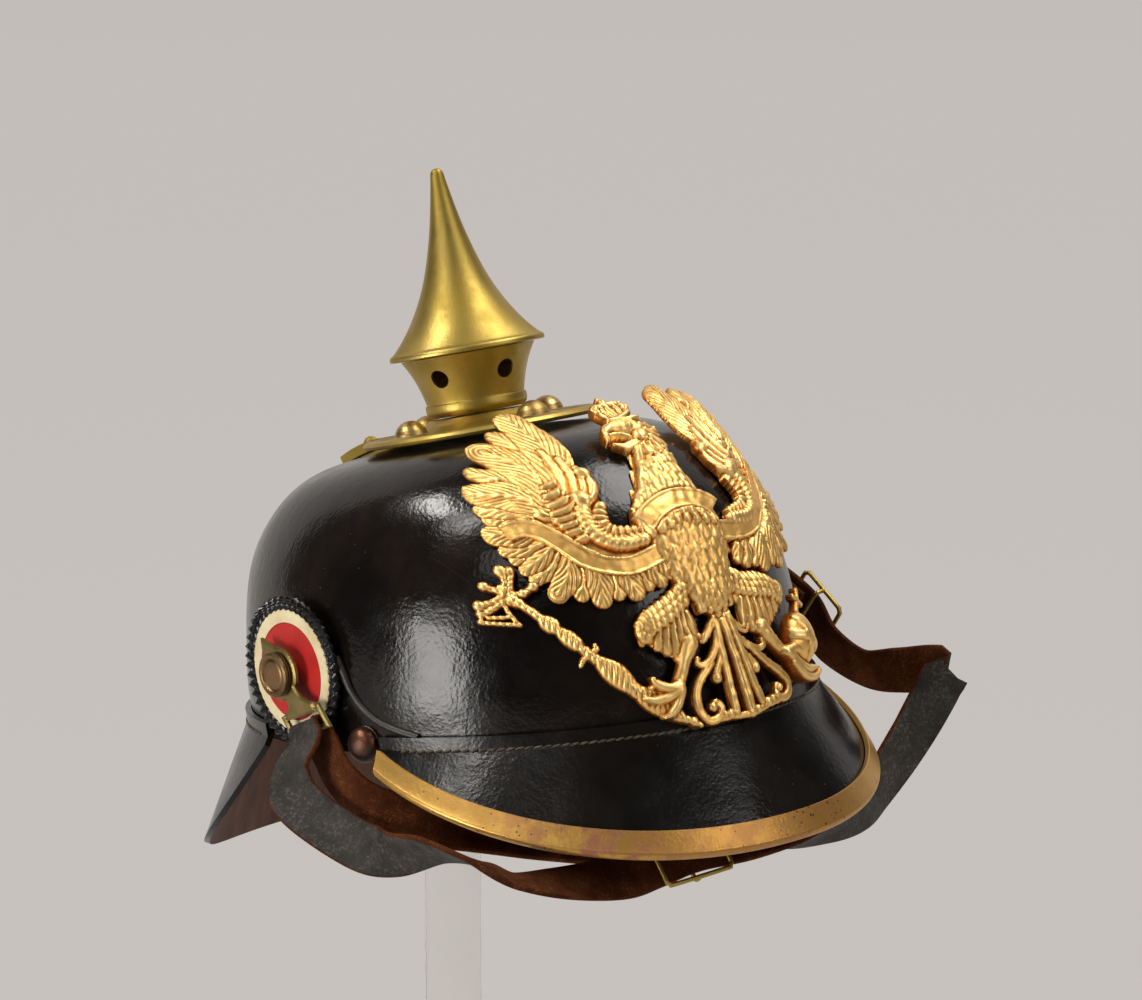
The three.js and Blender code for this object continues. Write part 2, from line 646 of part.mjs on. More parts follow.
function plateAt(s, t, lift) {
  const here = platePoint(s, t);
  const aside = platePoint(s + 0.5, t).sub(platePoint(s - 0.5, t));
  const up = platePoint(s, t + 0.5).sub(platePoint(s, t - 0.5));
  const out = aside.cross(up).normalize();
  return here.addScaledVector(out, lift);
}

// A raised blade along a line of stations: place, half width, and the height of its ridge
function blade(rows, base, edge = 1) {
  const rings = rows.map((row, i) => {
    const prev = rows[Math.max(i - 1, 0)];
    const next = rows[Math.min(i + 1, rows.length - 1)];
    const ds = next.s - prev.s;
    const dt = next.t - prev.t;
    const size = Math.hypot(ds, dt);
    const ns = -dt / size;
    const nt = ds / size;
    const at = (k, lift) => plateAt(row.s + ns * row.w * k, row.t + nt * row.w * k, base + lift);
    return [at(-1, 0), at(1, 0), at(0.6, edge + row.h), at(-0.6, edge + row.h)];
  });
  return loft(rings);
}

// A round boss of a radius and height on the plate
function boss(row) {
  const ring = (r, lift) => Array.from({ length: row.around }, (_, k) => {
    const a = (k / row.around) * Math.PI * 2;
    return plateAt(row.s + r * Math.cos(a), row.t + r * Math.sin(a), row.base + lift);
  });
  return loft([ring(row.radius, 0), ring(row.radius * 0.55, row.high)]);
}

// Wing feathers, wearer's right side: root, tip and half width
const PRIMARIES = [
  { rs: -31, rt: 86, s: -32.6, t: 126, w: 3.9 },
  { rs: -33, rt: 86, s: -42, t: 120.5, w: 4.1 },
  { rs: -35, rt: 85, s: -51.5, t: 111.5, w: 4.2 },
  { rs: -36.5, rt: 83, s: -61, t: 100, w: 4.3 },
  { rs: -38, rt: 80.5, s: -66.6, t: 88, w: 4.3 },
  { rs: -39, rt: 77.5, s: -69.6, t: 76.5, w: 4.3 },
  { rs: -41, rt: 74, s: -67, t: 66.4, w: 4.2 },
];
const SECONDARIES = [
  { rs: -46, rt: 70, s: -61.6, t: 58, w: 4.4 },
  { rs: -42.5, rt: 67, s: -54.6, t: 50.4, w: 4.3 },
  { rs: -39, rt: 63.6, s: -47.4, t: 46.2, w: 4.2 },
  { rs: -34.6, rt: 61, s: -40.4, t: 44.4, w: 4.1 },
  { rs: -29.6, rt: 60, s: -33.2, t: 44, w: 4 },
  { rs: -24.6, rt: 60, s: -26, t: 44.8, w: 3.9 },
  { rs: -19.6, rt: 60, s: -19, t: 46.6, w: 3.8 },
];

// Raised forms of the bird that come once: foot level, edge height, then stations of place, half width
// and ridge
const BIRD_FORMS = {
  breast: {
    base: 0.1,
    edge: 2.6,
    rows: [
      { s: -3, t: 47, w: 9, h: 2 },
      { s: -2.5, t: 54, w: 14, h: 3 },
      { s: -2.5, t: 62, w: 15.5, h: 3.4 },
      { s: -3, t: 71, w: 12.5, h: 3 },
    ],
  },
  neck: {
    base: 0.15,
    edge: 2.2,
    rows: [
      { s: -4, t: 69, w: 13.5, h: 2.6 },
      { s: -2, t: 80, w: 10.4, h: 3.2 },
      { s: 0.5, t: 90, w: 8.2, h: 3.6 },
      { s: -0.5, t: 98, w: 7.4, h: 3.6 },
    ],
  },
  head: {
    base: 0.35,
    edge: 2.4,
    rows: [
      { s: 5, t: 96, w: 3.5, h: 1.5 },
      { s: 0, t: 101, w: 6.6, h: 3.4 },
      { s: -5, t: 104, w: 6.2, h: 3.4 },
      { s: -9.6, t: 104.6, w: 4, h: 2.4 },
      { s: -13.6, t: 103.4, w: 2.2, h: 1.2 },
      { s: -15.2, t: 100.4, w: 0.7, h: 0.4 },
    ],
  },
  crown: {
    base: 0.5,
    edge: 2,
    rows: [
      { s: -4, t: 106, w: 5.6, h: 1 },
      { s: -3.6, t: 110, w: 6, h: 1.6 },
      { s: -3.4, t: 115, w: 7.4, h: 1.6 },
      { s: -3, t: 119, w: 4.6, h: 1.2 },
      { s: -2.6, t: 122, w: 0.9, h: 0.6 },
      { s: -2.5, t: 125.6, w: 0.9, h: 0.6 },
    ],
  },
  crownCross: {
    base: 0.7,
    edge: 1.6,
    rows: [
      { s: -4.6, t: 123.8, w: 0.8, h: 0.5 },
      { s: -0.4, t: 123.8, w: 0.8, h: 0.5 },
    ],
  },
  tailStem: {
    base: 0.2,
    edge: 1.7,
    rows: [
      { s: 0, t: 49, w: 8, h: 2 },
      { s: 0, t: 40, w: 5.4, h: 1.6 },
      { s: 0, t: 26, w: 3.4, h: 1.4 },
      { s: 0.4, t: 12, w: 3.2, h: 1.2 },
      { s: 0.6, t: 1, w: 2.4, h: 1 },
    ],
  },
  sceptreShaft: {
    base: 0.4,
    edge: 1.5,
    rows: [
      { s: -66, t: 50.6, w: 1.4, h: 1 },
      { s: -60, t: 42.6, w: 1.7, h: 1.2 },
      { s: -53, t: 33.4, w: 1.9, h: 1.4 },
      { s: -46.6, t: 25, w: 2.6, h: 1.8 },
      { s: -42.6, t: 20.6, w: 3.6, h: 2.2 },
      { s: -38, t: 15.8, w: 2.6, h: 1.6 },
      { s: -31, t: 9.6, w: 3.4, h: 2 },
      { s: -25, t: 5.4, w: 2, h: 1.2 },
      { s: -19, t: 1.4, w: 1.8, h: 1.2 },
    ],
  },
  sceptreHead: {
    base: 0.1,
    edge: 1.3,
    rows: [
      { s: -78, t: 56, w: 2.2, h: 1 },
      { s: -71, t: 53, w: 3.6, h: 1.4 },
      { s: -64, t: 50, w: 2, h: 1 },
    ],
  },
  sceptreArms: {
    base: 0.6,
    edge: 1.3,
    rows: [
      { s: -75.6, t: 44.6, w: 1.8, h: 0.8 },
      { s: -71, t: 53, w: 2.8, h: 1.2 },
      { s: -66.6, t: 63, w: 1.6, h: 0.8 },
    ],
  },
  orbClaw: {
    base: 0.5,
    edge: 3,
    rows: [
      { s: 25, t: 12, w: 2, h: 1 },
      { s: 29, t: 15, w: 2.6, h: 1.4 },
      { s: 33, t: 17, w: 2, h: 1 },
    ],
  },
  orbCross: {
    base: 0.6,
    edge: 2,
    rows: [
      { s: 38.4, t: 24.4, w: 1.2, h: 0.6 },
      { s: 44.6, t: 31, w: 1.1, h: 0.5 },
    ],
  },
  orbCrossArm: {
    base: 0.9,
    edge: 1.6,
    rows: [
      { s: 40, t: 30.6, w: 1, h: 0.5 },
      { s: 44.6, t: 26.2, w: 1, h: 0.5 },
    ],
  },
};

// Raised forms that come on both sides, wearer's right given
const PAIRED_FORMS = {
  covert: {
    base: 0.3,
    edge: 1.8,
    rows: [
      { s: -31, t: 90, w: 3, h: 1 },
      { s: -36, t: 84, w: 9, h: 1.6 },
      { s: -44, t: 76, w: 10, h: 1.6 },
      { s: -53, t: 71, w: 5, h: 1 },
    ],
  },
  underCovert: {
    base: 0.25,
    edge: 1.7,
    rows: [
      { s: -42, t: 67, w: 6, h: 1 },
      { s: -30, t: 62, w: 7, h: 1.4 },
      { s: -14, t: 60, w: 7, h: 1.4 },
    ],
  },
  wingBone: {
    base: 0.9,
    edge: 2,
    rows: [
      { s: -33, t: 86, w: 2.6, h: 2 },
      { s: -36, t: 78, w: 2.8, h: 2.4 },
      { s: -34.6, t: 69, w: 2.8, h: 2.4 },
      { s: -29, t: 64.5, w: 2.8, h: 2.2 },
      { s: -15, t: 63.5, w: 2.6, h: 1.4 },
    ],
  },
  thigh: {
    base: 0.45,
    edge: 2,
    rows: [
      { s: -6, t: 50, w: 6.5, h: 1.6 },
      { s: -16, t: 43, w: 8, h: 2.2 },
      { s: -24, t: 36.5, w: 7.8, h: 2.2 },
      { s: -28.6, t: 29.5, w: 4.4, h: 1.4 },
      { s: -28, t: 25.4, w: 2.4, h: 1 },
    ],
  },
  leg: {
    base: 0.2,
    edge: 1.6,
    rows: [
      { s: -28.6, t: 29, w: 2.4, h: 1 },
      { s: -22.6, t: 22.6, w: 2, h: 1 },
      { s: -24.4, t: 16, w: 1.9, h: 1 },
      { s: -27, t: 9.6, w: 1.8, h: 1 },
    ],
  },
  tailCurl: {
    base: 0.3,
    edge: 1.5,
    rows: [
      { s: -1.5, t: 44, w: 2.6, h: 1 },
      { s: -4.4, t: 34, w: 2, h: 0.9 },
      { s: -13.4, t: 17.6, w: 1.7, h: 0.8 },
      { s: -17.4, t: 10.6, w: 1.9, h: 0.9 },
      { s: -16.6, t: 4.4, w: 1.9, h: 0.9 },
      { s: -12, t: 3.2, w: 2, h: 0.9 },
    ],
  },
  tailHook: {
    base: 0.65,
    edge: 1.1,
    rows: [
      { s: -3.6, t: 34, w: 1.3, h: 0.6 },
      { s: -9.8, t: 27.6, w: 1.3, h: 0.6 },
      { s: -13.6, t: 21.8, w: 1.2, h: 0.6 },
    ],
  },
  tailDrop: {
    base: 0.1,
    edge: 1.4,
    rows: [
      { s: -0.6, t: 26, w: 1.4, h: 0.7 },
      { s: -5, t: 18.6, w: 1.5, h: 0.8 },
      { s: -9.2, t: 12.4, w: 1.6, h: 0.9 },
    ],
  },
  tailTie: {
    base: 0.5,
    edge: 1.2,
    rows: [
      { s: -12.2, t: 3.4, w: 1, h: 0.4 },
      { s: 0, t: 2.6, w: 1.2, h: 0.4 },
    ],
  },
};

// Bare ribbons across the wings and the breast
const RIBBON_HALF = 3;
const RIBBONS = {
  right: {
    base: 2.4,
    rows: [
      { s: -61, t: 77.5 },
      { s: -55, t: 75 },
      { s: -49, t: 70.6 },
      { s: -43.5, t: 64.6 },
      { s: -38, t: 59.4 },
      { s: -30, t: 56 },
      { s: -16, t: 56.4 },
    ],
  },
  left: {
    base: 2.4,
    rows: [
      { s: 61, t: 79 },
      { s: 54, t: 77 },
      { s: 47, t: 73 },
      { s: 40, t: 67 },
      { s: 33, t: 62.4 },
      { s: 25, t: 59.4 },
      { s: 12, t: 59 },
    ],
  },
  breast: {
    base: 3.6,
    rows: [
      { s: -18, t: 66.6 },
      { s: -13, t: 71.4 },
      { s: -6, t: 74.4 },
      { s: 1, t: 74.6 },
      { s: 7, t: 72.4 },
      { s: 11, t: 67.6 },
    ],
  },
};

// Round bosses: place, radius, height, foot level and sides
const BIRD_BOSSES = [
  { s: -27, t: 10.4, radius: 4.4, high: 4, base: 0.3, around: 8 },
  { s: 33, t: 19.6, radius: 8.6, high: 6, base: 0.2, around: 12 },
];
const PAIRED_BOSSES = [
  { s: -32.2, t: 84, radius: 4, high: 4.6, base: 0.2, around: 7 },
  { s: -12.2, t: 3.4, radius: 2.7, high: 3, base: 0.05, around: 7 },
  { s: -6.2, t: 3.2, radius: 2.4, high: 2.8, base: 0.15, around: 7 },
];
const PEG = { s: 24, t: 62, row: 3.75, radius: 2, sides: 6 };

function mirrored(rows, side) {
  return rows.map((row) => ({ ...row, s: row.s * side }));
}

function feather(row, side, base) {
  const at = (f, w) => {
    const s = row.rs + (row.s - row.rs) * f;
    const t = row.rt + (row.t - row.rt) * f;
    return { s: s * side, t, w, h: 0.7 };
  };
  return blade([at(0.22, row.w * 0.8), at(0.8, row.w), at(1, row.w * 0.35)], base, 1.1);
}

// A hidden peg from the plate's back to just off the leather
function platePeg(side) {
  const near = plateAt(PEG.s * side, PEG.t, 1);
  const turn = Math.asin(near.x / along(SKULL_ROWS, "half", PEG.row));
  const foot = skullPoint(PEG.row, turn, -GAP - 1);
  const way = near.clone().sub(foot);
  const long = way.length();
  const peg = turned([[0, 0], [PEG.radius, 0], [PEG.radius, long], [0, long]], PEG.sides);
  return setOn(peg, foot, way);
}

function frontPlate() {
  const parts = [];
  for (const side of [1, -1]) {
    PRIMARIES.forEach((row, i) => parts.push(feather(row, side, i % 2 ? 0.55 : 0)));
    SECONDARIES.forEach((row, i) => parts.push(feather(row, side, i % 2 ? 0.5 : -0.05)));
    for (const form of Object.values(PAIRED_FORMS)) {
      parts.push(blade(mirrored(form.rows, side), form.base, form.edge));
    }
    mirrored(PAIRED_BOSSES, side).forEach((row) => parts.push(boss(row)));
    parts.push(platePeg(side));
  }
  for (const form of Object.values(BIRD_FORMS)) {
    parts.push(blade(form.rows, form.base, form.edge));
  }
  for (const band of Object.values(RIBBONS)) {
    const rows = band.rows.map((row) => ({ ...row, w: RIBBON_HALF, h: 0.25 }));
    parts.push(blade(rows, band.base, 1.2));
  }
  BIRD_BOSSES.forEach((row) => parts.push(boss(row)));
  return joinAll(parts);
}

// Stand: square base, round post cut to the lean of the pad, round pad inside the crown
function stand() {
  const pad = turned([
    [0, STAND.padTop - STAND.padHigh], [STAND.pad, STAND.padTop - STAND.padHigh],
    [STAND.pad, STAND.padTop - 1.6], [STAND.pad - 2, STAND.padTop], [0, STAND.padTop],
  ], 22);
  const c = Math.cos(rad(LEAN_BACK));
  const s = Math.sin(rad(LEAN_BACK));
  const level = STAND.padTop - STAND.padHigh - GAP;
  const centreY = (-SEAT_Y - s * (STAND.padTop - STAND.padHigh)) / c;
  pad.translate(0, centreY, 0);
  const low = [];
  const high = [];
  for (let k = 0; k < STAND.sides; k += 1) {
    const a = (k / STAND.sides) * Math.PI * 2;
    const x = STAND.post * Math.cos(a);
    const y = STAND.post * Math.sin(a);
    low.push(vec(x, y, STAND.baseHigh + GAP));
    high.push(vec(x, y, (level - s * (y - SEAT_Y)) / c + SEAT_Z));
  }
  const base = box(STAND.base, STAND.base, STAND.baseHigh, 0, 0, STAND.baseHigh / 2);
  addPiece("stand_base", base, acrylic, null);
  addPiece("stand_post", loft([low, high]), acrylic, null);
  addPiece("stand_pad", pad, acrylic);
}

addPiece("skull", skull(), leatherBlack);
addPiece("front_visor", visor(FRONT_VISOR, false), leatherVisor);
addPiece("rear_visor", visor(REAR_VISOR, true), leatherVisor);
addPiece("front_visor_trim", visorTrim(), trimBrass);
addPiece("spike_base", spikeBase(), oldBrass);
addPiece("spike_neck", neck(), oldBrass);
addPiece("spike", spike(), oldBrass);
const STUD_PLACES = { front: -90, left: 0, back: 90, right: 180 };
for (const [place, angle] of Object.entries(STUD_PLACES)) {
  const stud = dome(STUD.radius, STUD.high, 12);
  stud.translate(STUD.ring * Math.cos(rad(angle)), STUD.ring * Math.sin(rad(angle)), STUD.z);
  addPiece(`base_stud_${place}`, stud, oldBrass);
}
addPiece("rear_spine",
  backStrip(SPINE.top, SPINE.bottom, SPINE.steps, SPINE.half, GAP + 0.05, GAP + SPINE.thick), oldBrass);
addPiece("vent_slide", ventSlide(), oldBrass);
addPiece("front_plate", frontPlate(), giltBrass);
for (const [hand, side, turn] of [["right", -1, LUG_TURN_RIGHT], ["left", 1, LUG_TURN_LEFT]]) {
  addPiece(`cockade_${hand}`, cockade(side), cockadeBlack);
  addPiece(`side_post_${hand}`, sidePost(side), bronze);
  addPiece(`strap_lug_${hand}`, lug(side, turn), oldBrass);
  const wall = wallAt(Math.acos(-RIVET.y / WALL_FRONT) * side, false);
  const foot = vec(wall.x, wall.y, RIVET.z).addScaledVector(wall.out, RIVET.off);
  addPiece(`trim_rivet_${hand}`, setOn(dome(RIVET.radius, RIVET.high, 14), foot, wall.out), copperBrown);
}
addPiece("chin_strap", strap(), leatherStrap);
addPiece("front_slider", slider(FRONT_SLIDER_ROW, 1), oldBrass);
addPiece("left_slider", slider(LEFT_SLIDER_ROW, -1), oldBrass);
stand();

export default object;
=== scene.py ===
import math

import bpy
import numpy as np
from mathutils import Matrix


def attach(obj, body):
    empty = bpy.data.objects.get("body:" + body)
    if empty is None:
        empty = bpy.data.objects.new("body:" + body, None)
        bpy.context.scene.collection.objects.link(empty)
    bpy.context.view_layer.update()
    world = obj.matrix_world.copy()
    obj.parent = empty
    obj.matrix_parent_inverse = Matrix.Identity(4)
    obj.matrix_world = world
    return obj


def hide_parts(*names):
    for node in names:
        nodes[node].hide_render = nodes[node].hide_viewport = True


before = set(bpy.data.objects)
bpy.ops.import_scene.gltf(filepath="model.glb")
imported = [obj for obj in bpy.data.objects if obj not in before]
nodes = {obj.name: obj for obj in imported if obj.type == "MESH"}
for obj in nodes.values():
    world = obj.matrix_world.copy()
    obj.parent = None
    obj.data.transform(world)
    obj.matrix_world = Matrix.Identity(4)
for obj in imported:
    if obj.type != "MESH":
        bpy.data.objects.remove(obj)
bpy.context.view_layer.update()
print("frame loaded")

# Seat of the helmet on its stand, millimetres and degrees, as in the CAD
leanBack = math.radians(15.5)
seatY = -44.0
seatZ = 206.0
gap = 0.35


# Helmet millimetres to metres in the shared frame
def toWorld(x, y, z):
    c = math.cos(leanBack)
    s = math.sin(leanBack)
    x, y, z = np.broadcast_arrays(x, y, z)
    return np.stack((x, c * y + s * z + seatY, c * z - s * y + seatZ), -1) * 0.001


# Smooth curve through the rows of a table, at a row number
def along(table, u):
    table = np.asarray(table, float)
    last = len(table) - 1
    u = np.asarray(u, float)
    i = np.clip(np.floor(u).astype(int), 0, last - 1)
    f = (u - i)[..., None]
    slopes = np.empty_like(table)
    slopes[1:-1] = (table[2:] - table[:-2]) / 2
    slopes[0] = table[1] - table[0]
    slopes[-1] = table[-1] - table[-2]
    f2 = f * f
    f3 = f2 * f
    return (table[i] * (2 * f3 - 3 * f2 + 1) + slopes[i] * (f3 - 2 * f2 + f)
            + table[i + 1] * (3 * f2 - 2 * f3) + slopes[i + 1] * (f3 - f2))


# Straight lines between the rows of a table, for one column
def between(table, k, column):
    return np.interp(k, range(len(table)), [row[column] for row in table])


def unit(v):
    return v / np.linalg.norm(v, axis=-1, keepdims=True)


def smoothstep(low, high, value):
    t = np.clip((value - low) / (high - low), 0, 1)
    return t * t * (3 - 2 * t)


# A grid primitive whose points are set by a function of its two shares, seams welded
def gridPiece(name, columns, rows, place):
    bpy.ops.object.select_all(action="DESELECT")
    bpy.ops.mesh.primitive_grid_add(x_subdivisions=columns, y_subdivisions=rows, size=1)
    obj = bpy.context.object
    obj.name = name
    obj.data.name = name
    flat = np.empty(len(obj.data.vertices) * 3)
    obj.data.vertices.foreach_get("co", flat)
    share = flat.reshape(-1, 3)[:, :2] + 0.5
    obj.data.vertices.foreach_set("co", place(share[:, 0], share[:, 1]).ravel())
    bpy.ops.object.mode_set(mode="EDIT")
    bpy.ops.mesh.select_all(action="SELECT")
    bpy.ops.mesh.remove_doubles(threshold=1e-6)
    bpy.ops.object.mode_set(mode="OBJECT")
    obj.data.update()
    return obj


# A profile of radius and height turned about an axis of the helmet, the spike's unless another is given
def turnedPiece(name, profile, around, rows, sharp=True, foot=(0, 0, 0), way=(0, 0, 1)):
    way = unit(np.array(way, float))
    across = unit(np.cross((0, 1, 0) if abs(way[1]) < 0.9 else (1, 0, 0), way))
    other = np.cross(way, across)

    def place(u, v):
        a = u * 2 * math.pi
        row = v * (len(profile) - 1)
        if sharp:
            p = np.stack((between(profile, row, 0), between(profile, row, 1)), -1)
        else:
            p = along(profile, row)
        spot = (np.array(foot) + np.outer(p[:, 1], way) + np.outer(p[:, 0] * np.cos(a), across)
                + np.outer(p[:, 0] * np.sin(a), other))
        return toWorld(*spot.T)
    obj = gridPiece(name, around, rows, place)
    turnOut(obj)
    return obj


# A round wire along a line that stays square to one direction
def wirePiece(name, points, level, radius, closed=False, steps=10):
    points = np.asarray(points, float)
    if closed:
        points = np.concatenate((points[-2:], points, points[:3]))
        line = along(points, np.linspace(2, len(points) - 3, (len(points) - 5) * steps + 1))
        way = np.roll(line[:-1], -1, 0) - np.roll(line[:-1], 1, 0)
        way = np.concatenate((way, way[:1]))
    else:
        line = along(points, np.linspace(0, len(points) - 1, (len(points) - 1) * steps + 1))
        way = np.gradient(line, axis=0)
    way = unit(way)
    level = np.broadcast_to(np.asarray(level, float), way.shape)
    side = unit(np.cross(way, level))
    up = np.cross(side, way)
    rows = len(line) - 1

    def place(u, v):
        i = np.rint(v * rows).astype(int)
        a = u * 2 * math.pi
        p = line[i] + radius * (side[i] * np.cos(a)[:, None] + up[i] * np.sin(a)[:, None])
        return toWorld(*p.T)
    obj = gridPiece(name, 12, rows, place)
    turnOut(obj)
    return obj


def meshPiece(name, points, faces):
    mesh = bpy.data.meshes.new(name)
    mesh.from_pydata(points, [], faces)
    obj = bpy.data.objects.new(name, mesh)
    bpy.context.scene.collection.objects.link(obj)
    return obj


# Leave one piece selected and active
def pick(obj):
    bpy.ops.object.select_all(action="DESELECT")
    obj.select_set(True)
    bpy.context.view_layer.objects.active = obj


# Close the open ends and turn every face outwards
def turnOut(obj):
    pick(obj)
    bpy.ops.object.mode_set(mode="EDIT")
    bpy.ops.mesh.select_all(action="DESELECT")
    bpy.ops.mesh.select_non_manifold()
    bpy.ops.mesh.fill_holes(sides=0)
    bpy.ops.mesh.select_all(action="SELECT")
    bpy.ops.mesh.normals_make_consistent(inside=False)
    bpy.ops.object.mode_set(mode="OBJECT")


def applyModifier(obj, kind, **settings):
    pick(obj)
    modifier = obj.modifiers.new(kind.lower(), kind)
    for key, value in settings.items():
        setattr(modifier, key, value)
    bpy.ops.object.modifier_apply(modifier=modifier.name)


def smoothShade(obj, angle):
    pick(obj)
    bpy.ops.object.shade_smooth_by_angle(angle=math.radians(angle))


def joinPieces(name, pieces):
    bpy.ops.object.select_all(action="DESELECT")
    for piece in pieces:
        piece.select_set(True)
    bpy.context.view_layer.objects.active = pieces[0]
    bpy.ops.object.join()
    pieces[0].name = name
    return pieces[0]


# Everything that is modelled here rides on the helmet's body
def settle(obj, slotName, *replaced):
    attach(obj, "helmet")
    if replaced:
        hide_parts(*replaced)


# Link a shader socket, or set its value
def plug(tree, socket, value):
    if isinstance(value, bpy.types.NodeSocket):
        tree.links.new(value, socket)
    elif socket.type == "RGBA":
        socket.default_value = (*value[:3], 1)
    else:
        socket.default_value = value


def node(tree, kind, inputs=None, **settings):
    n = tree.nodes.new("ShaderNode" + kind)
    for key, value in settings.items():
        setattr(n, key, value)
    for key, value in (inputs or {}).items():
        plug(tree, n.inputs[key], value)
    return n


def ramp(tree, factor, low, high):
    return node(tree, "MapRange", {"Value": factor, "From Min": low, "From Max": high},
                clamp=True).outputs["Result"]


def mixColour(tree, factor, a, b):
    n = node(tree, "Mix", {"Factor": factor}, data_type="RGBA")
    plug(tree, n.inputs[6], a)
    plug(tree, n.inputs[7], b)
    return n.outputs[2]


def maths(tree, operation, a, b=0.0, c=0.0):
    return node(tree, "Math", {0: a, 1: b, 2: c}, operation=operation).outputs[0]


def noise(tree, vector, scale, detail=3, rough=0.5):
    return node(tree, "TexNoise", {"Vector": vector, "Scale": scale, "Detail": detail,
                                   "Roughness": rough}).outputs["Fac"]


# A node group whose inside is made by a function
def groupOf(name, inputs, outputs, fill):
    tree = bpy.data.node_groups.new(name, "ShaderNodeTree")
    for key, kind, value in inputs:
        socket = tree.interface.new_socket(key, in_out="INPUT", socket_type="NodeSocket" + kind)
        if value is not None:
            socket.default_value = value
    for key, kind in outputs:
        tree.interface.new_socket(key, in_out="OUTPUT", socket_type="NodeSocket" + kind)
    ins = tree.nodes.new("NodeGroupInput")
    outs = tree.nodes.new("NodeGroupOutput")
    for key, socket in fill(tree, ins.outputs).items():
        tree.links.new(socket, outs.inputs[key])
    return tree


def useGroup(tree, group, inputs):
    n = tree.nodes.new("ShaderNodeGroup")
    n.node_tree = group
    for key, value in inputs.items():
        plug(tree, n.inputs[key], value)
    return n.outputs


def fillSpecks(tree, ins):
    cells = node(tree, "TexVoronoi", {"Vector": ins["Vector"], "Scale": ins["Scale"]})
    thin = noise(tree, ins["Vector"], 14, 2)
    size = maths(tree, "MULTIPLY", maths(tree, "SUBTRACT", thin, 0.4), ins["Amount"])
    mask = maths(tree, "LESS_THAN", cells.outputs["Distance"], size)
    return {"Mask": mask}


def fillScratches(tree, ins):
    bend = node(tree, "TexNoise", {"Vector": ins["Vector"], "Scale": 9, "Detail": 1})
    pull = node(tree, "VectorMath", {0: bend.outputs["Color"], 1: (0.03, 0.03, 0.03)},
                operation="MULTIPLY")
    moved = node(tree, "VectorMath", {0: ins["Vector"], 1: pull.outputs[0]}, operation="ADD")
    cells = node(tree, "TexVoronoi", {"Vector": moved.outputs[0], "Scale": ins["Scale"]},
                 feature="DISTANCE_TO_EDGE")
    line = maths(tree, "LESS_THAN", cells.outputs["Distance"], ins["Width"])
    some = ramp(tree, noise(tree, ins["Vector"], 24, 2), 0.5, 0.62)
    return {"Mask": maths(tree, "MULTIPLY", line, some)}


def fillPebble(tree, ins):
    fine = noise(tree, ins["Vector"], ins["Scale"], 2, 0.5)
    broad = noise(tree, ins["Vector"], maths(tree, "MULTIPLY", ins["Scale"], 0.22), 2, 0.5)
    broad = maths(tree, "MULTIPLY", broad, 0.7)
    return {"Height": maths(tree, "ADD", maths(tree, "MULTIPLY", fine, 0.45), broad)}


specks = groupOf("specks",
                 (("Vector", "Vector", None), ("Scale", "Float", 300.0), ("Amount", "Float", 0.6)),
                 (("Mask", "Float"),), fillSpecks)
scratches = groupOf("scratches",
                    (("Vector", "Vector", None), ("Scale", "Float", 30.0), ("Width", "Float", 0.01)),
                    (("Mask", "Float"),), fillScratches)
pebble = groupOf("pebble", (("Vector", "Vector", None), ("Scale", "Float", 600.0)),
                 (("Height", "Float"),), fillPebble)


def material(name):
    m = bpy.data.materials.new(name)
    m.use_nodes = True
    tree = m.node_tree
    tree.nodes.clear()
    shader = node(tree, "BsdfPrincipled")
    out = node(tree, "OutputMaterial")
    tree.links.new(shader.outputs[0], out.inputs[0])
    place = node(tree, "TexCoord").outputs["Object"]
    return m, tree, shader.inputs, place


def feed(tree, inputs, **values):
    for key, value in values.items():
        plug(tree, inputs[key.replace("_", " ")], value)


def bump(tree, height, strength, distance):
    return node(tree, "Bump", {"Height": height, "Strength": strength, "Distance": distance}).outputs[0]


# Black lacquer over leather: patches, specks, hairlines and a fine pebble
def lacquer(name, base, tint, rough, peel, dusty):
    m, tree, into, place = material(name)
    patch = ramp(tree, noise(tree, place, 26, 4, 0.6), 0.42, 0.68)
    colour = mixColour(tree, patch, base, tint)
    mark = useGroup(tree, specks, {"Vector": place, "Scale": 300.0, "Amount": 0.32})["Mask"]
    line = useGroup(tree, scratches, {"Vector": place, "Scale": 11.0, "Width": 0.0022})["Mask"]
    wear = maths(tree, "MAXIMUM", maths(tree, "MULTIPLY", mark, 0.3), maths(tree, "MULTIPLY", line, 0.04))
    colour = mixColour(tree, wear, colour, (0.3, 0.28, 0.25))
    smear = ramp(tree, noise(tree, place, 60, 5, 0.65), 0.35, 0.75)
    roughness = maths(tree, "MULTIPLY_ADD", smear, dusty, rough)
    roughness = maths(tree, "MULTIPLY_ADD", wear, 0.5, roughness)
    height = useGroup(tree, pebble, {"Vector": place, "Scale": peel})["Height"]
    feed(tree, into, Base_Color=colour, Roughness=roughness, Specular_IOR_Level=0.36,
         Normal=bump(tree, height, 0.19, 0.001))
    return m


# Dulled brass: three tones in patches, dark spots and a fine grain
def brass(name, base, shade, hot, rough, spread):
    m, tree, into, place = material(name)
    patch = ramp(tree, noise(tree, place, spread, 5, 0.62), 0.36, 0.66)
    colour = mixColour(tree, patch, base, shade)
    flush = ramp(tree, noise(tree, place, spread * 0.45, 3, 0.5), 0.5, 0.72)
    colour = mixColour(tree, maths(tree, "MULTIPLY", flush, 0.7), colour, hot)
    mark = useGroup(tree, specks, {"Vector": place, "Scale": 420.0, "Amount": 0.3})["Mask"]
    colour = mixColour(tree, maths(tree, "MULTIPLY", mark, 0.6), colour, (0.05, 0.035, 0.015))
    fine = noise(tree, place, 900, 4, 0.6)
    roughness = maths(tree, "MULTIPLY_ADD", patch, 0.16, rough)
    feed(tree, into, Base_Color=colour, Metallic=1.0, Roughness=roughness,
         Normal=bump(tree, fine, 0.12, 0.0006))
    return m


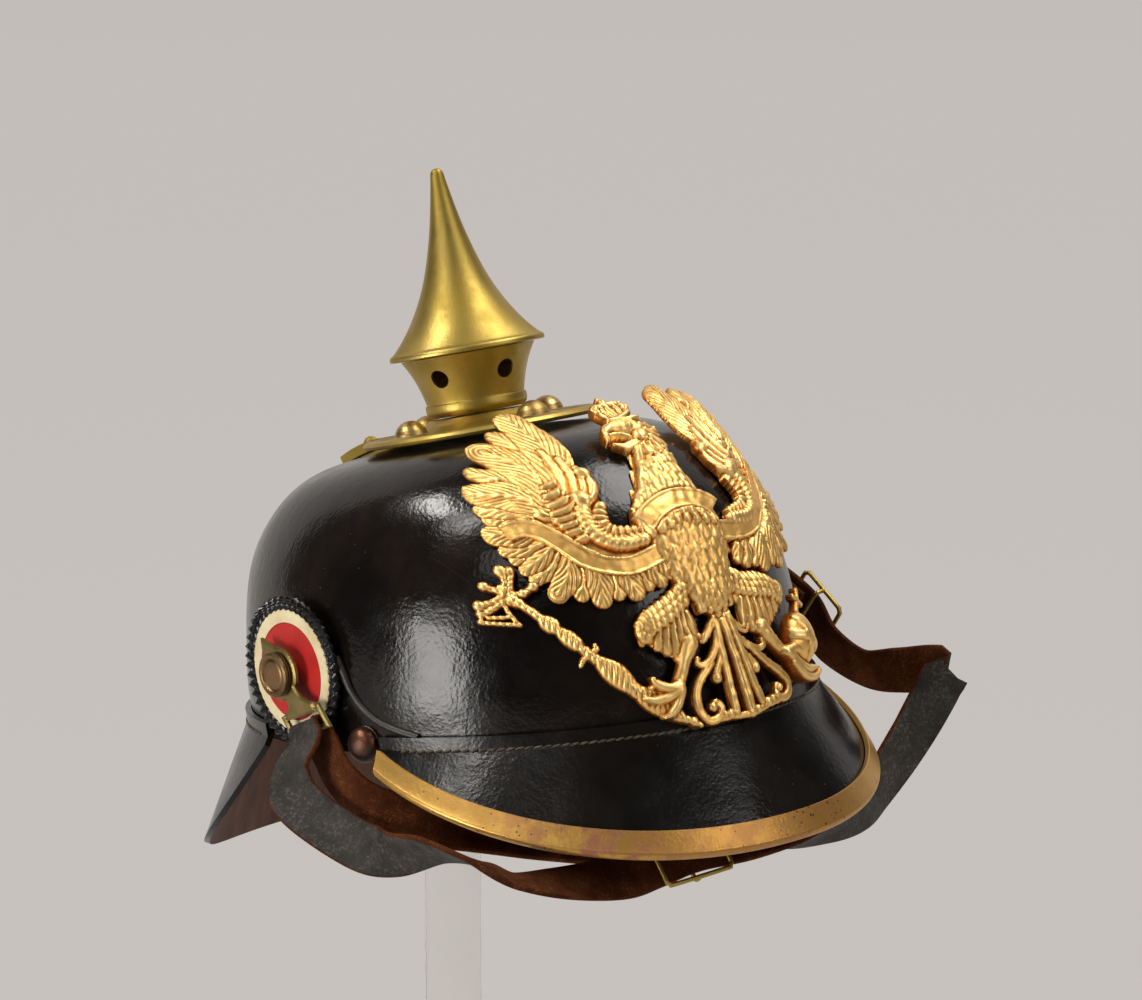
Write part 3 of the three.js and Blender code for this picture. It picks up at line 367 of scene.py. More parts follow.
# Brass edging: gold at the ends, red-brown tarnish towards the middle, dark spots
def edging(name):
    m, tree, into, place = material(name)
    x = node(tree, "SeparateXYZ", {0: place}).outputs["X"]
    browned = ramp(tree, maths(tree, "ABSOLUTE", maths(tree, "ADD", x, 0.005)), 0.075, 0.025)
    pinked = ramp(tree, maths(tree, "ABSOLUTE", maths(tree, "ADD", x, 0.058)), 0.03, 0.006)
    patch = ramp(tree, noise(tree, place, 60, 4, 0.6), 0.35, 0.7)
    colour = mixColour(tree, patch, (0.74, 0.42, 0.1), (0.56, 0.32, 0.075))
    colour = mixColour(tree, maths(tree, "MULTIPLY", browned, 0.85), colour, (0.5, 0.25, 0.055))
    tarnish = ramp(tree, noise(tree, place, 170, 6, 0.72), 0.44, 0.58)
    where = maths(tree, "MAXIMUM", pinked, maths(tree, "MULTIPLY", browned, 0.35))
    stained = maths(tree, "MULTIPLY", tarnish, where)
    colour = mixColour(tree, stained, colour, (0.4, 0.17, 0.09))
    mark = useGroup(tree, specks, {"Vector": place, "Scale": 420.0, "Amount": 0.9})["Mask"]
    colour = mixColour(tree, maths(tree, "MULTIPLY", mark, 0.75), colour, (0.05, 0.033, 0.02))
    roughness = maths(tree, "MULTIPLY_ADD", stained, 0.2, 0.36)
    feed(tree, into, Base_Color=colour, Metallic=0.72, Roughness=roughness,
         Normal=bump(tree, noise(tree, place, 700, 4, 0.6), 0.2, 0.0006))
    return m


# Gilt: red-gold painted shade in the recesses and a pale painted highlight on the raised edges, by the
# relief's own attribute
def gilt(name):
    m, tree, into, place = material(name)
    paintedShadeAndHighlight = node(tree, "Attribute", attribute_name="paintedShadeAndHighlight").outputs["Fac"]
    # Painted shade in the recesses, painted highlight on the raised edges
    colour = mixColour(tree, ramp(tree, paintedShadeAndHighlight, 0.1, 0.46), (0.38, 0.125, 0.017), (0.94, 0.545, 0.15))
    colour = mixColour(tree, ramp(tree, paintedShadeAndHighlight, 0.5, 0.78), colour, (0.98, 0.69, 0.27))
    roughness = maths(tree, "MULTIPLY_ADD", noise(tree, place, 160, 3), 0.18, 0.33)
    feed(tree, into, Base_Color=colour, Metallic=0.85, Roughness=roughness,
         Normal=bump(tree, noise(tree, place, 1500, 3), 0.12, 0.0004))
    return m


# Two-toned leather or thread, its grain drawn out downwards where it is streaked
def plainLeather(name, base, tint, rough, scale, strength, streak=1.0):
    m, tree, into, place = material(name)
    if streak != 1:
        place = node(tree, "Mapping", {"Vector": place, "Scale": (1, 1, streak)}).outputs[0]
    patch = ramp(tree, noise(tree, place, scale * 0.2, 4, 0.65), 0.35, 0.7)
    fine = noise(tree, place, scale, 4, 0.6)
    feed(tree, into, Base_Color=mixColour(tree, patch, base, tint), Roughness=rough,
         Normal=bump(tree, fine, strength, 0.001))
    return m


# Worn hide: two tones in patches and a fine pale speckle where the surface is rubbed
def hide(name, base, tint, pale, rough, shine, scale):
    m, tree, into, place = material(name)
    patch = ramp(tree, noise(tree, place, 70, 5, 0.65), 0.36, 0.66)
    colour = mixColour(tree, patch, base, tint)
    fine = noise(tree, place, scale, 4, 0.7)
    where = ramp(tree, noise(tree, place, 140, 3, 0.6), 0.36, 0.6)
    rubbed = maths(tree, "MULTIPLY", ramp(tree, fine, 0.5, 0.64), where)
    colour = mixColour(tree, maths(tree, "MULTIPLY", rubbed, 0.75), colour, pale)
    feed(tree, into, Base_Color=colour, Roughness=rough, Specular_IOR_Level=shine,
         Normal=bump(tree, fine, 0.5, 0.0012))
    return m


def clearPlastic(name):
    m, tree, into, _ = material(name)
    feed(tree, into, Base_Color=(0.97, 0.955, 0.945), Roughness=0.06, IOR=1.12, Metallic=0.0,
         Transmission_Weight=0.88)
    return m


# Enamel in two close tones, slightly uneven
def paint(name, base, tint, rough, shine):
    m, tree, into, place = material(name)
    patch = ramp(tree, noise(tree, place, 90, 4, 0.6), 0.4, 0.7)
    feed(tree, into, Base_Color=mixColour(tree, patch, base, tint), Roughness=rough, Specular_IOR_Level=shine,
         Normal=bump(tree, noise(tree, place, 700, 2), 0.12, 0.0005))
    return m


looks = {
    "skullBlack": lacquer("skull_lacquer", (0.004, 0.003, 0.0025), (0.014, 0.009, 0.006), 0.13, 820.0, 0.14),
    "visorBlack": lacquer("visor_lacquer", (0.004, 0.0035, 0.003), (0.011, 0.008, 0.006), 0.17, 860.0, 0.14),
    "weltBrown": plainLeather("welt_leather", (0.016, 0.012, 0.009), (0.05, 0.038, 0.028), 0.42, 300, 0.3),
    "lining": plainLeather("lining_leather", (0.1, 0.042, 0.024), (0.155, 0.072, 0.042), 0.75, 260, 0.3),
    "visorInside": plainLeather("visor_inside", (0.085, 0.032, 0.016), (0.19, 0.085, 0.046),
                                0.7, 900, 0.3, 0.05),
    "agedBrass": brass("aged_brass", (0.49, 0.355, 0.088), (0.36, 0.25, 0.047), (0.57, 0.39, 0.13), 0.38, 55),
    "studBrass": brass("stud_brass", (0.54, 0.37, 0.13), (0.42, 0.27, 0.075), (0.6, 0.36, 0.19), 0.34, 90),
    "lugBrass": brass("lug_brass", (0.31, 0.235, 0.085), (0.2, 0.155, 0.055), (0.4, 0.3, 0.13), 0.36, 110),
    "trimBrass": edging("trim_brass"),
    "giltBrass": gilt("gilt_brass"),
    "rivetCopper": brass("rivet_copper", (0.15, 0.075, 0.05), (0.06, 0.042, 0.034), (0.34, 0.10, 0.04),
                         0.36, 120),
    "postBronze": brass("post_bronze", (0.24, 0.15, 0.065), (0.13, 0.082, 0.04), (0.32, 0.17, 0.08),
                        0.34, 130),
    "strapGrain": hide("strap_grain", (0.016, 0.014, 0.012), (0.045, 0.039, 0.033), (0.13, 0.115, 0.095),
                       0.62, 0.3, 900),
    "strapFlesh": hide("strap_flesh", (0.05, 0.0125, 0.0035), (0.1, 0.03, 0.009), (0.2, 0.075, 0.026),
                       0.95, 0.1, 1300),
    "cockadeBlack": paint("cockade_black", (0.006, 0.006, 0.006), (0.012, 0.011, 0.01), 0.2, 0.4),
    "cockadeCream": paint("cockade_cream", (0.78, 0.68, 0.43), (0.64, 0.52, 0.29), 0.5, 0.3),
    "cockadeRed": paint("cockade_red", (0.5, 0.02, 0.015), (0.38, 0.015, 0.012), 0.45, 0.3),
    "cockadeWhite": paint("cockade_white", (0.75, 0.73, 0.68), (0.6, 0.57, 0.5), 0.5, 0.3),
    "acrylic": clearPlastic("clear_acrylic"),
    "thread": plainLeather("thread", (0.012, 0.009, 0.007), (0.13, 0.095, 0.045), 0.55, 2600, 0.4),
}


def dress(obj, *keys):
    obj.data.materials.clear()
    for key in keys:
        obj.data.materials.append(looks[key])


def finishPiece(obj, angle, look, slotName, *replaced):
    smoothShade(obj, angle)
    dress(obj, look)
    settle(obj, slotName, *replaced)


print("materials made")

# Skull sections from the rim up: height, tilt per 100 mm, half width, reach to front and to back
skull = {
    "wall": 2.2,
    "crown": 99.8,
    "waves": ((0.16, 3, 2.2), (0.1, 7, -1.6)),  # size, turns round and turn per row of the uneven leather
    "rows": (
        (7, 11, 86.3, 106.6, 103.6),
        (22, 6, 86.8, 107, 104),
        (38, 2, 85.4, 105.5, 103),
        (54, 0, 82.9, 102, 100.5),
        (68, 0, 78.6, 96.5, 96),
        (79, 0, 72.6, 89, 90),
        (88, 0, 64.3, 78.5, 81),
        (94, 0, 54.5, 66, 69.5),
        (97.5, 0, 42, 50, 53),
        (99.2, 0, 26, 31, 32),
    ),
}


def skullPoint(u, a, lift=0.0):
    row = along(skull["rows"], u)
    slope = along(skull["rows"], u + 0.02) - along(skull["rows"], u - 0.02)
    size = np.hypot(slope[..., 2], slope[..., 0])
    outR = slope[..., 0] / size
    outZ = -slope[..., 2] / size
    reach = np.where(np.cos(a) > 0, row[..., 3], row[..., 4])
    x = (row[..., 2] + lift * outR) * np.sin(a)
    y = -(reach + lift * outR) * np.cos(a)
    return x, y, row[..., 0] + row[..., 1] / 100 * y + lift * outZ


def placeSkull(u, v):
    a = u * 2 * math.pi
    last = len(skull["rows"]) - 1
    level = np.minimum(v * (last + 1), last)
    wave = sum(size * np.sin(turns * a + rise * level) for size, turns, rise in skull["waves"])
    x, y, z = skullPoint(level, a, np.where(v > 0.02, wave, 0))
    cap = np.clip(v * (last + 1) - last, 0, 1)
    x = x * (1 - cap)
    y = y * (1 - cap)
    z = z + (skull["crown"] - z) * (1 - (1 - cap) ** 2)
    return toWorld(x, y, z)


skullPiece = gridPiece("skull_leather", 160, 100, placeSkull)
dress(skullPiece, "skullBlack", "lining")
applyModifier(skullPiece, "SOLIDIFY", thickness=skull["wall"] * 0.001, offset=-1, material_offset=1,
              material_offset_rim=0)
smoothShade(skullPiece, 50)
settle(skullPiece, "black_leather", "skull")
print("skull made")

# Visors: fold below the sewn band, slope below level, depth at the middle and at the ends
wall = {"half": 86.9, "front": 107.1, "back": 104.1, "rim": 7, "rise": 0.11, "band": 6}
visorWall = 2.0
sewnBand = 4.5
bandShare = 0.14  # of the rows, for the sewn band
frontVisor = {"end": 74, "slope": 70.5, "endSlope": 52, "deep": 41.5, "endDeep": 7, "power": 2.5,
              "rear": False}
rearVisor = {"end": 71, "slope": 62, "endSlope": 58, "deep": 52, "endDeep": 3, "power": 4.4, "rear": True}


def visorAt(spec, share, out, drop):
    sign = 1 if spec["rear"] else -1
    reach = wall["back"] if spec["rear"] else wall["front"]
    a = np.radians(spec["end"] * share)
    x = wall["half"] * np.sin(a)
    y = sign * reach * np.cos(a)
    nx = np.sin(a) / wall["half"]
    ny = sign * np.cos(a) / reach
    size = np.hypot(nx, ny)
    top = wall["rim"] + wall["band"] + wall["rise"] * y
    return toWorld(x + nx / size * out, y + ny / size * out, top + drop)


def visorForm(spec, share):
    t = np.abs(share)
    slope = np.radians(spec["slope"] + (spec["endSlope"] - spec["slope"]) * t * t)
    deep = spec["deep"] + (spec["endDeep"] - spec["deep"]) * t ** spec["power"]
    return slope, deep


def placeVisor(spec):
    def place(u, v):
        share = (2 * u - 1) * (-1 if spec["rear"] else 1)
        slope, deep = visorForm(spec, share)
        fold = 1 - bandShare
        down = np.clip(1 - v / fold, 0, 1) * deep
        up = np.clip((v - fold) / bandShare, 0, 1) * sewnBand
        return visorAt(spec, share, gap + visorWall + down * np.cos(slope),
                       up - sewnBand - down * np.sin(slope))
    return place


for spec, name, cadName in ((frontVisor, "front_visor_leather", "front_visor"),
                            (rearVisor, "rear_visor_leather", "rear_visor")):
    piece = gridPiece(name, 140, 50, placeVisor(spec))
    dress(piece, "visorBlack", "visorInside")
    applyModifier(piece, "SOLIDIFY", thickness=visorWall * 0.001, offset=-1, material_offset=1,
                  material_offset_rim=0)
    smoothShade(piece, 50)
    settle(piece, "black_leather", cadName)
print("visors made")

# Brass edging of the front visor
trim = {
    "wide": 7.2,
    "under": 4,
    "wall": 0.8,
    "face": ((1, 0.6), (0.97, 0.85), (0.5, 0.42)),  # share of the width and rise of the tilted face
}


def placeTrim(u, v):
    share = 2 * u - 1
    slope, deep = visorForm(frontVisor, share)
    wide = np.minimum(trim["wide"], deep - 0.6)
    under = np.minimum(trim["under"], wide - 0.4)
    high = gap + trim["wall"]
    low = -visorWall - high
    middle = (high + low) / 2
    radius = (high - low) / 2
    section = [(wide, gap)]
    section += [(wide * back, high + lift) for back, lift in trim["face"]]
    section += [(0.7, high), (0.2, high)]
    section += [(-0.2 * high - 0.75 * radius * math.sin(q), middle + radius * math.cos(q))
                for q in np.linspace(0, math.pi, 9)]
    section += [(under, low), (under, -visorWall - gap), (-gap, -visorWall - gap), (-gap, gap), (wide, gap)]
    spots = np.stack([np.stack((deep - back, np.full_like(deep, lift)), -1) for back, lift in section])
    k = v * (len(section) - 1)
    i = np.clip(np.floor(k + 1e-6).astype(int), 0, len(section) - 2)
    f = (k - i)[:, None]
    rows = np.arange(len(u))
    spot = spots[i, rows] * (1 - f) + spots[i + 1, rows] * f
    c = np.cos(slope)
    s = np.sin(slope)
    return visorAt(frontVisor, share, gap + visorWall + spot[:, 0] * c + spot[:, 1] * s,
                   -sewnBand - spot[:, 0] * s + spot[:, 1] * c)


trimPiece = gridPiece("visor_trim_brass", 160, 19, placeTrim)
turnOut(trimPiece)
finishPiece(trimPiece, 30, "trimBrass", "trim_brass", "front_visor_trim")
print("trim made")

# Thread in the fold below each sewn band, one twisted stitch after another
stitch = {"long": 3.3, "half": 0.46, "pitch": 2.9, "reach": 0.93, "out": 0.12, "up": 0.1, "slant": 0.2}


def threadPiece(name, spec):
    bpy.ops.object.select_all(action="DESELECT")
    bpy.ops.mesh.primitive_uv_sphere_add(segments=8, ring_count=6, radius=1)
    one = bpy.context.object
    shape = np.array([v.co[:] for v in one.data.vertices])
    faces = [tuple(f.vertices) for f in one.data.polygons]
    bpy.data.objects.remove(one)
    reach = wall["back"] if spec["rear"] else wall["front"]
    angle = 2 * math.radians(spec["end"] * stitch["reach"])
    count = int(angle * (wall["half"] + reach) / 2 / stitch["pitch"])
    out = gap + visorWall + stitch["out"]
    drop = stitch["up"] - sewnBand
    up = np.array((0, math.sin(leanBack), math.cos(leanBack)))
    points = []
    for share in np.linspace(-stitch["reach"], stitch["reach"], count):
        spot = visorAt(spec, share, out, drop) * 1000
        ahead = unit(visorAt(spec, share + 0.004, out, drop) * 1000 - spot)
        way = unit(ahead + up * stitch["slant"])
        side = unit(np.cross(way, up))
        axes = np.stack((way * stitch["long"] / 2, side * stitch["half"],
                         np.cross(side, way) * stitch["half"]))
        points.append((spot + shape @ axes) * 0.001)
    copies = [tuple(i + k * len(shape) for i in f) for k in range(count) for f in faces]
    obj = meshPiece(name, np.concatenate(points).tolist(), copies)
    turnOut(obj)
    finishPiece(obj, 60, "thread", "black_leather")


threadPiece("front_visor_thread", frontVisor)
threadPiece("rear_visor_thread", rearVisor)

# Raised welt of the skull from behind each cockade down to the visor's band
welt = {
    "radius": 1.3,
    "half": 86.7,
    "front": 107,
    "rows": ((-14.6, 37), (-16.6, 31.6), (-18.8, 25.6), (-22.8, 19.6), (-28.8, 14.4), (-36, 10.8), (-43, 8)),
}
for hand, side in (("right", -1), ("left", 1)):
    points = [(side * welt["half"] * math.sqrt(1 - (y / welt["front"]) ** 2), y, z) for y, z in welt["rows"]]
    piece = wirePiece("welt_" + hand, points, (side, 0, 0), welt["radius"])
    finishPiece(piece, 60, "weltBrown", "black_leather")
print("thread and welts made")

# Spike, its neck and base plate: radius and height on the spike's axis
baseZ = 100.2
neckZ = 107.0
spikeZ = 127.95
spikeTip = 190.5
spikeRows = (
    (21.6, spikeZ), (26.0, spikeZ - 0.05), (26.6, spikeZ + 0.8), (26.2, spikeZ + 1.8), (24.6, spikeZ + 3),
    (20.6, spikeZ + 7.6), (16.2, spikeZ + 14.2), (12, spikeZ + 22.4), (8.6, spikeZ + 31.8),
    (5.4, spikeZ + 43.8), (2.9, spikeZ + 56.6), (2.2, spikeZ + 60.8), (1.3, spikeTip - 0.35), (0, spikeTip),
)
spikePiece = turnedPiece("spike_brass", spikeRows, 96, 104, sharp=False)
finishPiece(spikePiece, 60, "agedBrass", "aged_brass", "spike")

neckRows = (
    (15.8, neckZ), (17.2, neckZ + 1.6), (17.3, neckZ + 4.2), (16.8, neckZ + 5), (18.4, neckZ + 11),
    (20.4, neckZ + 16), (22.9, neckZ + 20.6),
)
neckPiece = turnedPiece("spike_neck_brass", neckRows, 96, 48, sharp=False)
applyModifier(neckPiece, "SOLIDIFY", thickness=0.001, offset=-1)
vents = {"count": 5, "ring": 19.6, "level": 120.0, "dip": 0.28, "radius": 0.0033, "depth": 0.012}
holes = []
for k in range(vents["count"]):
    a = k / vents["count"] * 2 * math.pi - math.pi / 2
    ring = vents["ring"]
    spot = toWorld(ring * math.cos(a), ring * math.sin(a), vents["level"])
    way = toWorld((ring + 1) * math.cos(a), (ring + 1) * math.sin(a), vents["level"] - vents["dip"]) - spot
    way = unit(way)
    turn = (0, math.acos(way[2]), math.atan2(way[1], way[0]))
    bpy.ops.object.select_all(action="DESELECT")
    bpy.ops.mesh.primitive_cylinder_add(vertices=28, radius=vents["radius"], depth=vents["depth"],
                                        location=spot, rotation=turn)
    holes.append(bpy.context.object)
drill = joinPieces("vent_drill", holes)
applyModifier(neckPiece, "BOOLEAN", operation="DIFFERENCE", solver="EXACT", object=drill)
bpy.data.objects.remove(drill)
finishPiece(neckPiece, 40, "agedBrass", "aged_brass", "spike_neck")

baseRows = (
    (10, baseZ + 5), (10, baseZ + 6.3), (17, baseZ + 6.2), (19.4, baseZ + 4.2), (22.6, baseZ + 2.7),
    (36.2, baseZ + 2), (37.2, baseZ + 2.5), (38.4, baseZ + 2.8), (39.8, baseZ + 2.4), (40.8, baseZ + 1.2),
    (40.4, baseZ + 0.3), (39.6, baseZ), (36.6, baseZ + 0.6), (27.4, baseZ + 1.2), (10, baseZ + 5),
)
basePiece = turnedPiece("spike_base_brass", baseRows, 120, 56)
finishPiece(basePiece, 35, "agedBrass", "aged_brass", "spike_base")
print("spike made")

# Chin strap stations: middle of the band and the way to its upper edge
strap = {
    "wide": 16.5,
    "thick": 1.8,
    "rows": (
        (-18, -88.6, -43.4, 0, 0.4, 0.92),
        (-25, -86.6, -43, 0, 0.45, 0.88),
        (-40, -77, -37.8, 0.2, 0.8, 0.55),
        (-58, -60, -31.2, 0.4, 0.72, 0.52),
        (-76, -45, -23, 0.45, 0.5, 0.65),
        (-85.5, -31.5, -17.2, 0.2, 0.1, 0.95),
        (-90.6, -23, -10.4, 0, -0.5, 0.87),
        (-92.4, -14, -1.5, 0, -0.82, 0.58),
        (-91.6, -8.4, 6.6, 0, -0.95, 0.3),
        (-91.2, -5.2, 11.8, 0, -0.988, 0.156),
        (-91.2, -3.7, 14.4, 0, -0.988, 0.156),
        (-91.8, -2.6, 16.3, 0, -0.988, 0.156),
        (-93.3, -2.1, 17, 0, -0.988, 0.156),
        (-94.8, -2.6, 16.3, 0, -0.988, 0.156),
        (-95.5, -3.7, 14.4, 0, -0.988, 0.156),
        (-96.4, -5, 11.6, 0, -0.988, 0.156),
        (-102.4, -2, 3.2, 0.25, -0.88, 0.2),
        (-105.4, -6.6, -7, 0.7, -0.63, 0.25),
        (-100.4, -25, -21.2, 0.62, -0.55, 0.4),
        (-99.6, -44, -26, -0.1, -0.55, 0.7),
        (-97, -64, -25.8, -0.72, -0.1, 0.6),
        (-92.5, -79.5, -31, -0.9, -0.25, 0.4),
        (-83, -87, -39.4, -0.7, -0.7, -0.05),
        (-66, -88.5, -43.6, -0.22, -0.78, -0.55),
        (-46, -90.4, -46, 0, -0.6, -0.8),
        (-33, -91.6, -44.6, 0, -0.42, -0.91),
        (-18.5, -93, -42.6, 0, -0.4, -0.92),
        (-4, -94.3, -43.4, 0, -0.55, -0.83),
        (22, -96, -48.6, 0, -1, 0.1),
        (44, -94, -47.6, 0, -0.75, 0.65),
        (64, -88, -45, -0.1, -0.3, 0.95),
        (82, -78, -40, -0.3, -0.1, 0.95),
        (102, -76, -26.6, -0.5, 0.1, 0.85),
        (112.4, -82, -12, -0.4, 0.1, 0.9),
        (115.4, -83.6, -7.6, -0.25, 0.1, 0.95),
        (113.8, -79, -6.2, -0.1, 0, 1),
        (109.6, -67, -5.6, -0.15, -0.2, 0.96),
        (105.2, -54, -3.6, -0.3, -0.5, 0.8),
        (99.8, -43.2, 6.6, -0.1, -0.75, 0.66),
        (100.2, -35.2, 18.4, 0, -0.715, 0.7),
        (97.8, -25, 28.6, 0, -0.7, 0.71),
        (95.4, -17.6, 33, 0, -0.1, 1),
        (95.3, -14.6, 33.3, 0, -0.035, 1),
        (94.8, -12.8, 33.4, 0, -0.035, 1),
        (93.3, -12.1, 33.4, 0, -0.035, 1),
        (91.8, -12.8, 33.4, 0, -0.035, 1),
        (91.2, -14.6, 33.3, 0, -0.035, 1),
        (91.4, -18, 32.8, 0, -0.1, 1),
        (93.6, -25, 28, 0, -0.7, 0.71),
        (95.6, -34, 19.4, 0, -0.715, 0.7),
    ),
}


# Place, direction, upper edge and outer face of the band at a station
def strapFrame(u):
    last = len(strap["rows"]) - 1
    at = along(strap["rows"], u)
    way = (along(strap["rows"], np.minimum(u + 0.05, last))
           - along(strap["rows"], np.maximum(u - 0.05, 0)))[..., :3]
    way = unit(way)
    wide = at[..., 3:]
    wide = unit(wide - way * (wide * way).sum(-1, keepdims=True))
    return at[..., :3], way, wide, np.cross(way, wide)


fineRows = np.linspace(0, len(strap["rows"]) - 1, 4000)
finePath = strapFrame(fineRows)[0]
fineRun = np.concatenate(([0], np.cumsum(np.linalg.norm(np.diff(finePath, axis=0), axis=1))))
print("strap length mm", round(float(fineRun[-1]), 1))

# Round the band's section: share across, from -1 to 1, and share of the thickness
strapSection = ((-0.93, 0.5), (-0.5, 0.56), (0, 0.58), (0.5, 0.56), (0.93, 0.5), (0.985, 0.3), (1, 0),
                (0.985, -0.3), (0.93, -0.5), (0.5, -0.52), (0, -0.53), (-0.5, -0.52), (-0.93, -0.5),
                (-0.985, -0.3), (-1, 0), (-0.985, 0.3), (-0.93, 0.5))


def placeStrap(u, v):
    run = v * fineRun[-1]
    at, way, wide, grain = strapFrame(np.interp(run, fineRun, fineRows))
    k = u * (len(strapSection) - 1)
    w = between(strapSection, k, 0) * strap["wide"] / 2
    g = between(strapSection, k, 1) * strap["thick"]
    p = at + wide * w[:, None] + grain * g[:, None]
    return toWorld(*p.T)


strapPiece = gridPiece("chin_strap_leather", len(strapSection) - 1, 420, placeStrap)
turnOut(strapPiece)
dress(strapPiece, "strapGrain", "strapFlesh")
uvs = strapPiece.data.uv_layers[0].data
for face in strapPiece.data.polygons:
    across = sum(uvs[i].uv[0] for i in face.loop_indices) / len(face.loop_indices)
    face.material_index = 1 if across > 0.27 else 0
smoothShade(strapPiece, 60)
settle(strapPiece, "strap_leather", "chin_strap")
print("strap made")

# Wire sliders on the strap: a frame on one face and a bar across the other
slider = {
    "tall": 10.2,
    "off": 1.9,
    "radius": 0.8,
    "round": 2.4,
    "bar": ((10.2, -1.9), (10.2, 0.6), (9.6, 1.8), (7, 2)),  # half the bar: place across and lift
    "rows": (("front", 26, 1, 13), ("left", 39, -1, 10)),  # station, face of the strap, half length
}
halfBar = slider["bar"]
wholeBar = [(-b, g) for b, g in halfBar] + [(0, 2)] + list(halfBar[::-1])
for hand, row, sign, reach in slider["rows"]:
    name = hand + "_slider_wire"
    at, way, wide, grain = (q[0] for q in strapFrame(np.array([float(row)])))
    corner = slider["round"]
    loop = []
    for a, b, turn in ((1, 1, 0), (-1, 1, 90), (-1, -1, 180), (1, -1, 270)):
        for q in (0, 30, 60, 90):
            angle = math.radians(turn + q)
            loop.append(at + way * (a * (reach - corner) + corner * math.cos(angle))
                        + wide * (b * (slider["tall"] - corner) + corner * math.sin(angle))
                        - grain * sign * slider["off"])
    frameWire = wirePiece(name, loop, grain, slider["radius"], True, 4)
    bar = [at + wide * b + grain * sign * g for b, g in wholeBar]
    barWire = wirePiece(name + "_bar", bar, way, slider["radius"])
    piece = joinPieces(name, [frameWire, barWire])
    finishPiece(piece, 60, "agedBrass", "aged_brass", hand + "_slider")
print("sliders made")

# Face of the bird plate: distance up it, level, reach to the front and half width, millimetres
plateRows = ((0, -3, 115.5, 98), (22, 19, 113.5, 100), (41, 38, 110.5, 99), (60, 56, 105.5, 95),
             (73, 68, 100.5, 90), (87.5, 80, 92.5, 80), (105, 93, 81, 66), (125, 106, 66, 52.5),
             (142, 116, 52, 40))


def platePoint(s, t):
    level = np.interp(t, [r[0] for r in plateRows], range(len(plateRows))) + np.minimum(t, 0) / 22
    row = along(plateRows, level)
    turn = s / row[..., 3]
    return np.stack((row[..., 3] * np.sin(turn), -row[..., 2] * np.cos(turn), row[..., 1]), -1)


# A relief sheet: places across and up the plate, distance outside its outline, and rise
def newSheet(sLow, sHigh, tLow, tHigh, step):
    s, t = np.meshgrid(np.arange(sLow, sHigh, step), np.arange(tLow, tHigh, step))
    return {"s": s, "t": t, "edge": np.full_like(s, 9.0), "rise": np.zeros_like(s)}


def smoothLine(points):
    points = np.asarray(points, float)
    return along(points, np.linspace(0, len(points) - 1, (len(points) - 1) * 7 + 1))


def windowOf(sheet, low, high):
    s = sheet["s"][0]
    t = sheet["t"][:, 0]
    return (slice(*np.searchsorted(t, (low[1], high[1]))), slice(*np.searchsorted(s, (low[0], high[0]))))


# Distance to a line of (across, up, half width): signed distance, share along, half width, run
def nearLine(sheet, line):
    reach = line[:, 2].max() + 1.5
    window = windowOf(sheet, line[:, :2].min(0) - reach, line[:, :2].max(0) + reach)
    p = np.stack((sheet["s"][window].ravel(), sheet["t"][window].ravel()), -1)
    a = line[:-1, :2]
    way = line[1:, :2] - a
    size = np.maximum((way * way).sum(-1), 1e-9)
    off = p[:, None] - a
    k = np.clip((off * way).sum(-1) / size, 0, 1)
    far = off - way * k[..., None]
    j = (far * far).sum(-1).argmin(1)
    rows = np.arange(len(p))
    k = k[rows, j]
    side = np.sign(way[j, 0] * off[rows, j, 1] - way[j, 1] * off[rows, j, 0])
    d = np.sqrt((far[rows, j] ** 2).sum(-1)) * np.where(side == 0, 1, side)
    steps = np.sqrt(size)
    run = np.concatenate(([0], np.cumsum(steps)))[j] + k * steps[j]
    w = line[j, 2] + (line[j + 1, 2] - line[j, 2]) * k
    shape = sheet["s"][window].shape
    return window, d.reshape(shape), (run / steps.sum()).reshape(shape), w.reshape(shape), run.reshape(shape)


# Lay a form on the sheet, over what is there or where it stands higher
def lay(sheet, window, edge, rise, top=False):
    np.minimum(sheet["edge"][window], edge, out=sheet["edge"][window])
    inside = edge < 0.3
    kept = sheet["rise"][window]
    kept[inside] = np.maximum(kept, rise)[inside] if top else rise[inside]


# A round strand along a line, with a groove or a twist
def tube(sheet, points, low, tall, top=True, groove=0.0, twist=0.0):
    window, d, u, w, run = nearLine(sheet, smoothLine(points))
    v = np.clip(np.abs(d) / w, 0, 1)
    rise = low + tall * np.sqrt(1 - v * v * 0.96) - groove * np.exp(-(d / 0.45) ** 2)
    rise += twist * np.sin(2 * math.pi * (run + d * 0.8) / 2.1) * (1 - v * v)
    lay(sheet, window, np.abs(d) - w, rise, top)


# A feather from its root to its tip: half width, rise at both, side bend, rib and barbs
def feather(sheet, root, tip, half, low, high, bend=0.0, barb=0.36, crown=0.75, ground=None, rib=0.4):
    root = np.asarray(root, float)
    tip = np.asarray(tip, float)
    way = tip - root
    size = np.hypot(*way)
    cut = tip - way / size * half * 0.74
    middle = (root + cut) / 2 + np.array((-way[1], way[0])) * bend
    line = smoothLine([(*root, half * 0.6), (*middle, half), (*cut, half * 0.74)])
    window, d, u, w, run = nearLine(sheet, line)
    v = np.clip(np.abs(d) / w, 0, 1)
    ahead = (cut - middle) / np.hypot(*(cut - middle))
    offS = sheet["s"][window] - cut[0]
    offT = sheet["t"][window] - cut[1]
    side = np.abs(np.where(u >= 1, ahead[0] * offT - ahead[1] * offS, d))
    run = run + np.where(u >= 1, ahead[0] * offS + ahead[1] * offT, 0)
    rise = (low + (high - low) * u + crown * np.sqrt(1 - v * v * 0.96)
            + rib * np.exp(-(side / 0.4) ** 2) * (1 - 0.5 * u) * smoothstep(1, 0.8, v))
    comb = np.sin(2 * math.pi * (run * 0.36 - side * 0.93 + tip[0]) / 1.35)
    rise += barb * comb * smoothstep(0.3, 0.8, side) * smoothstep(0.98, 0.76, v)
    if ground is not None:
        rise += ground[window]
    lay(sheet, window, np.abs(d) - w, rise)


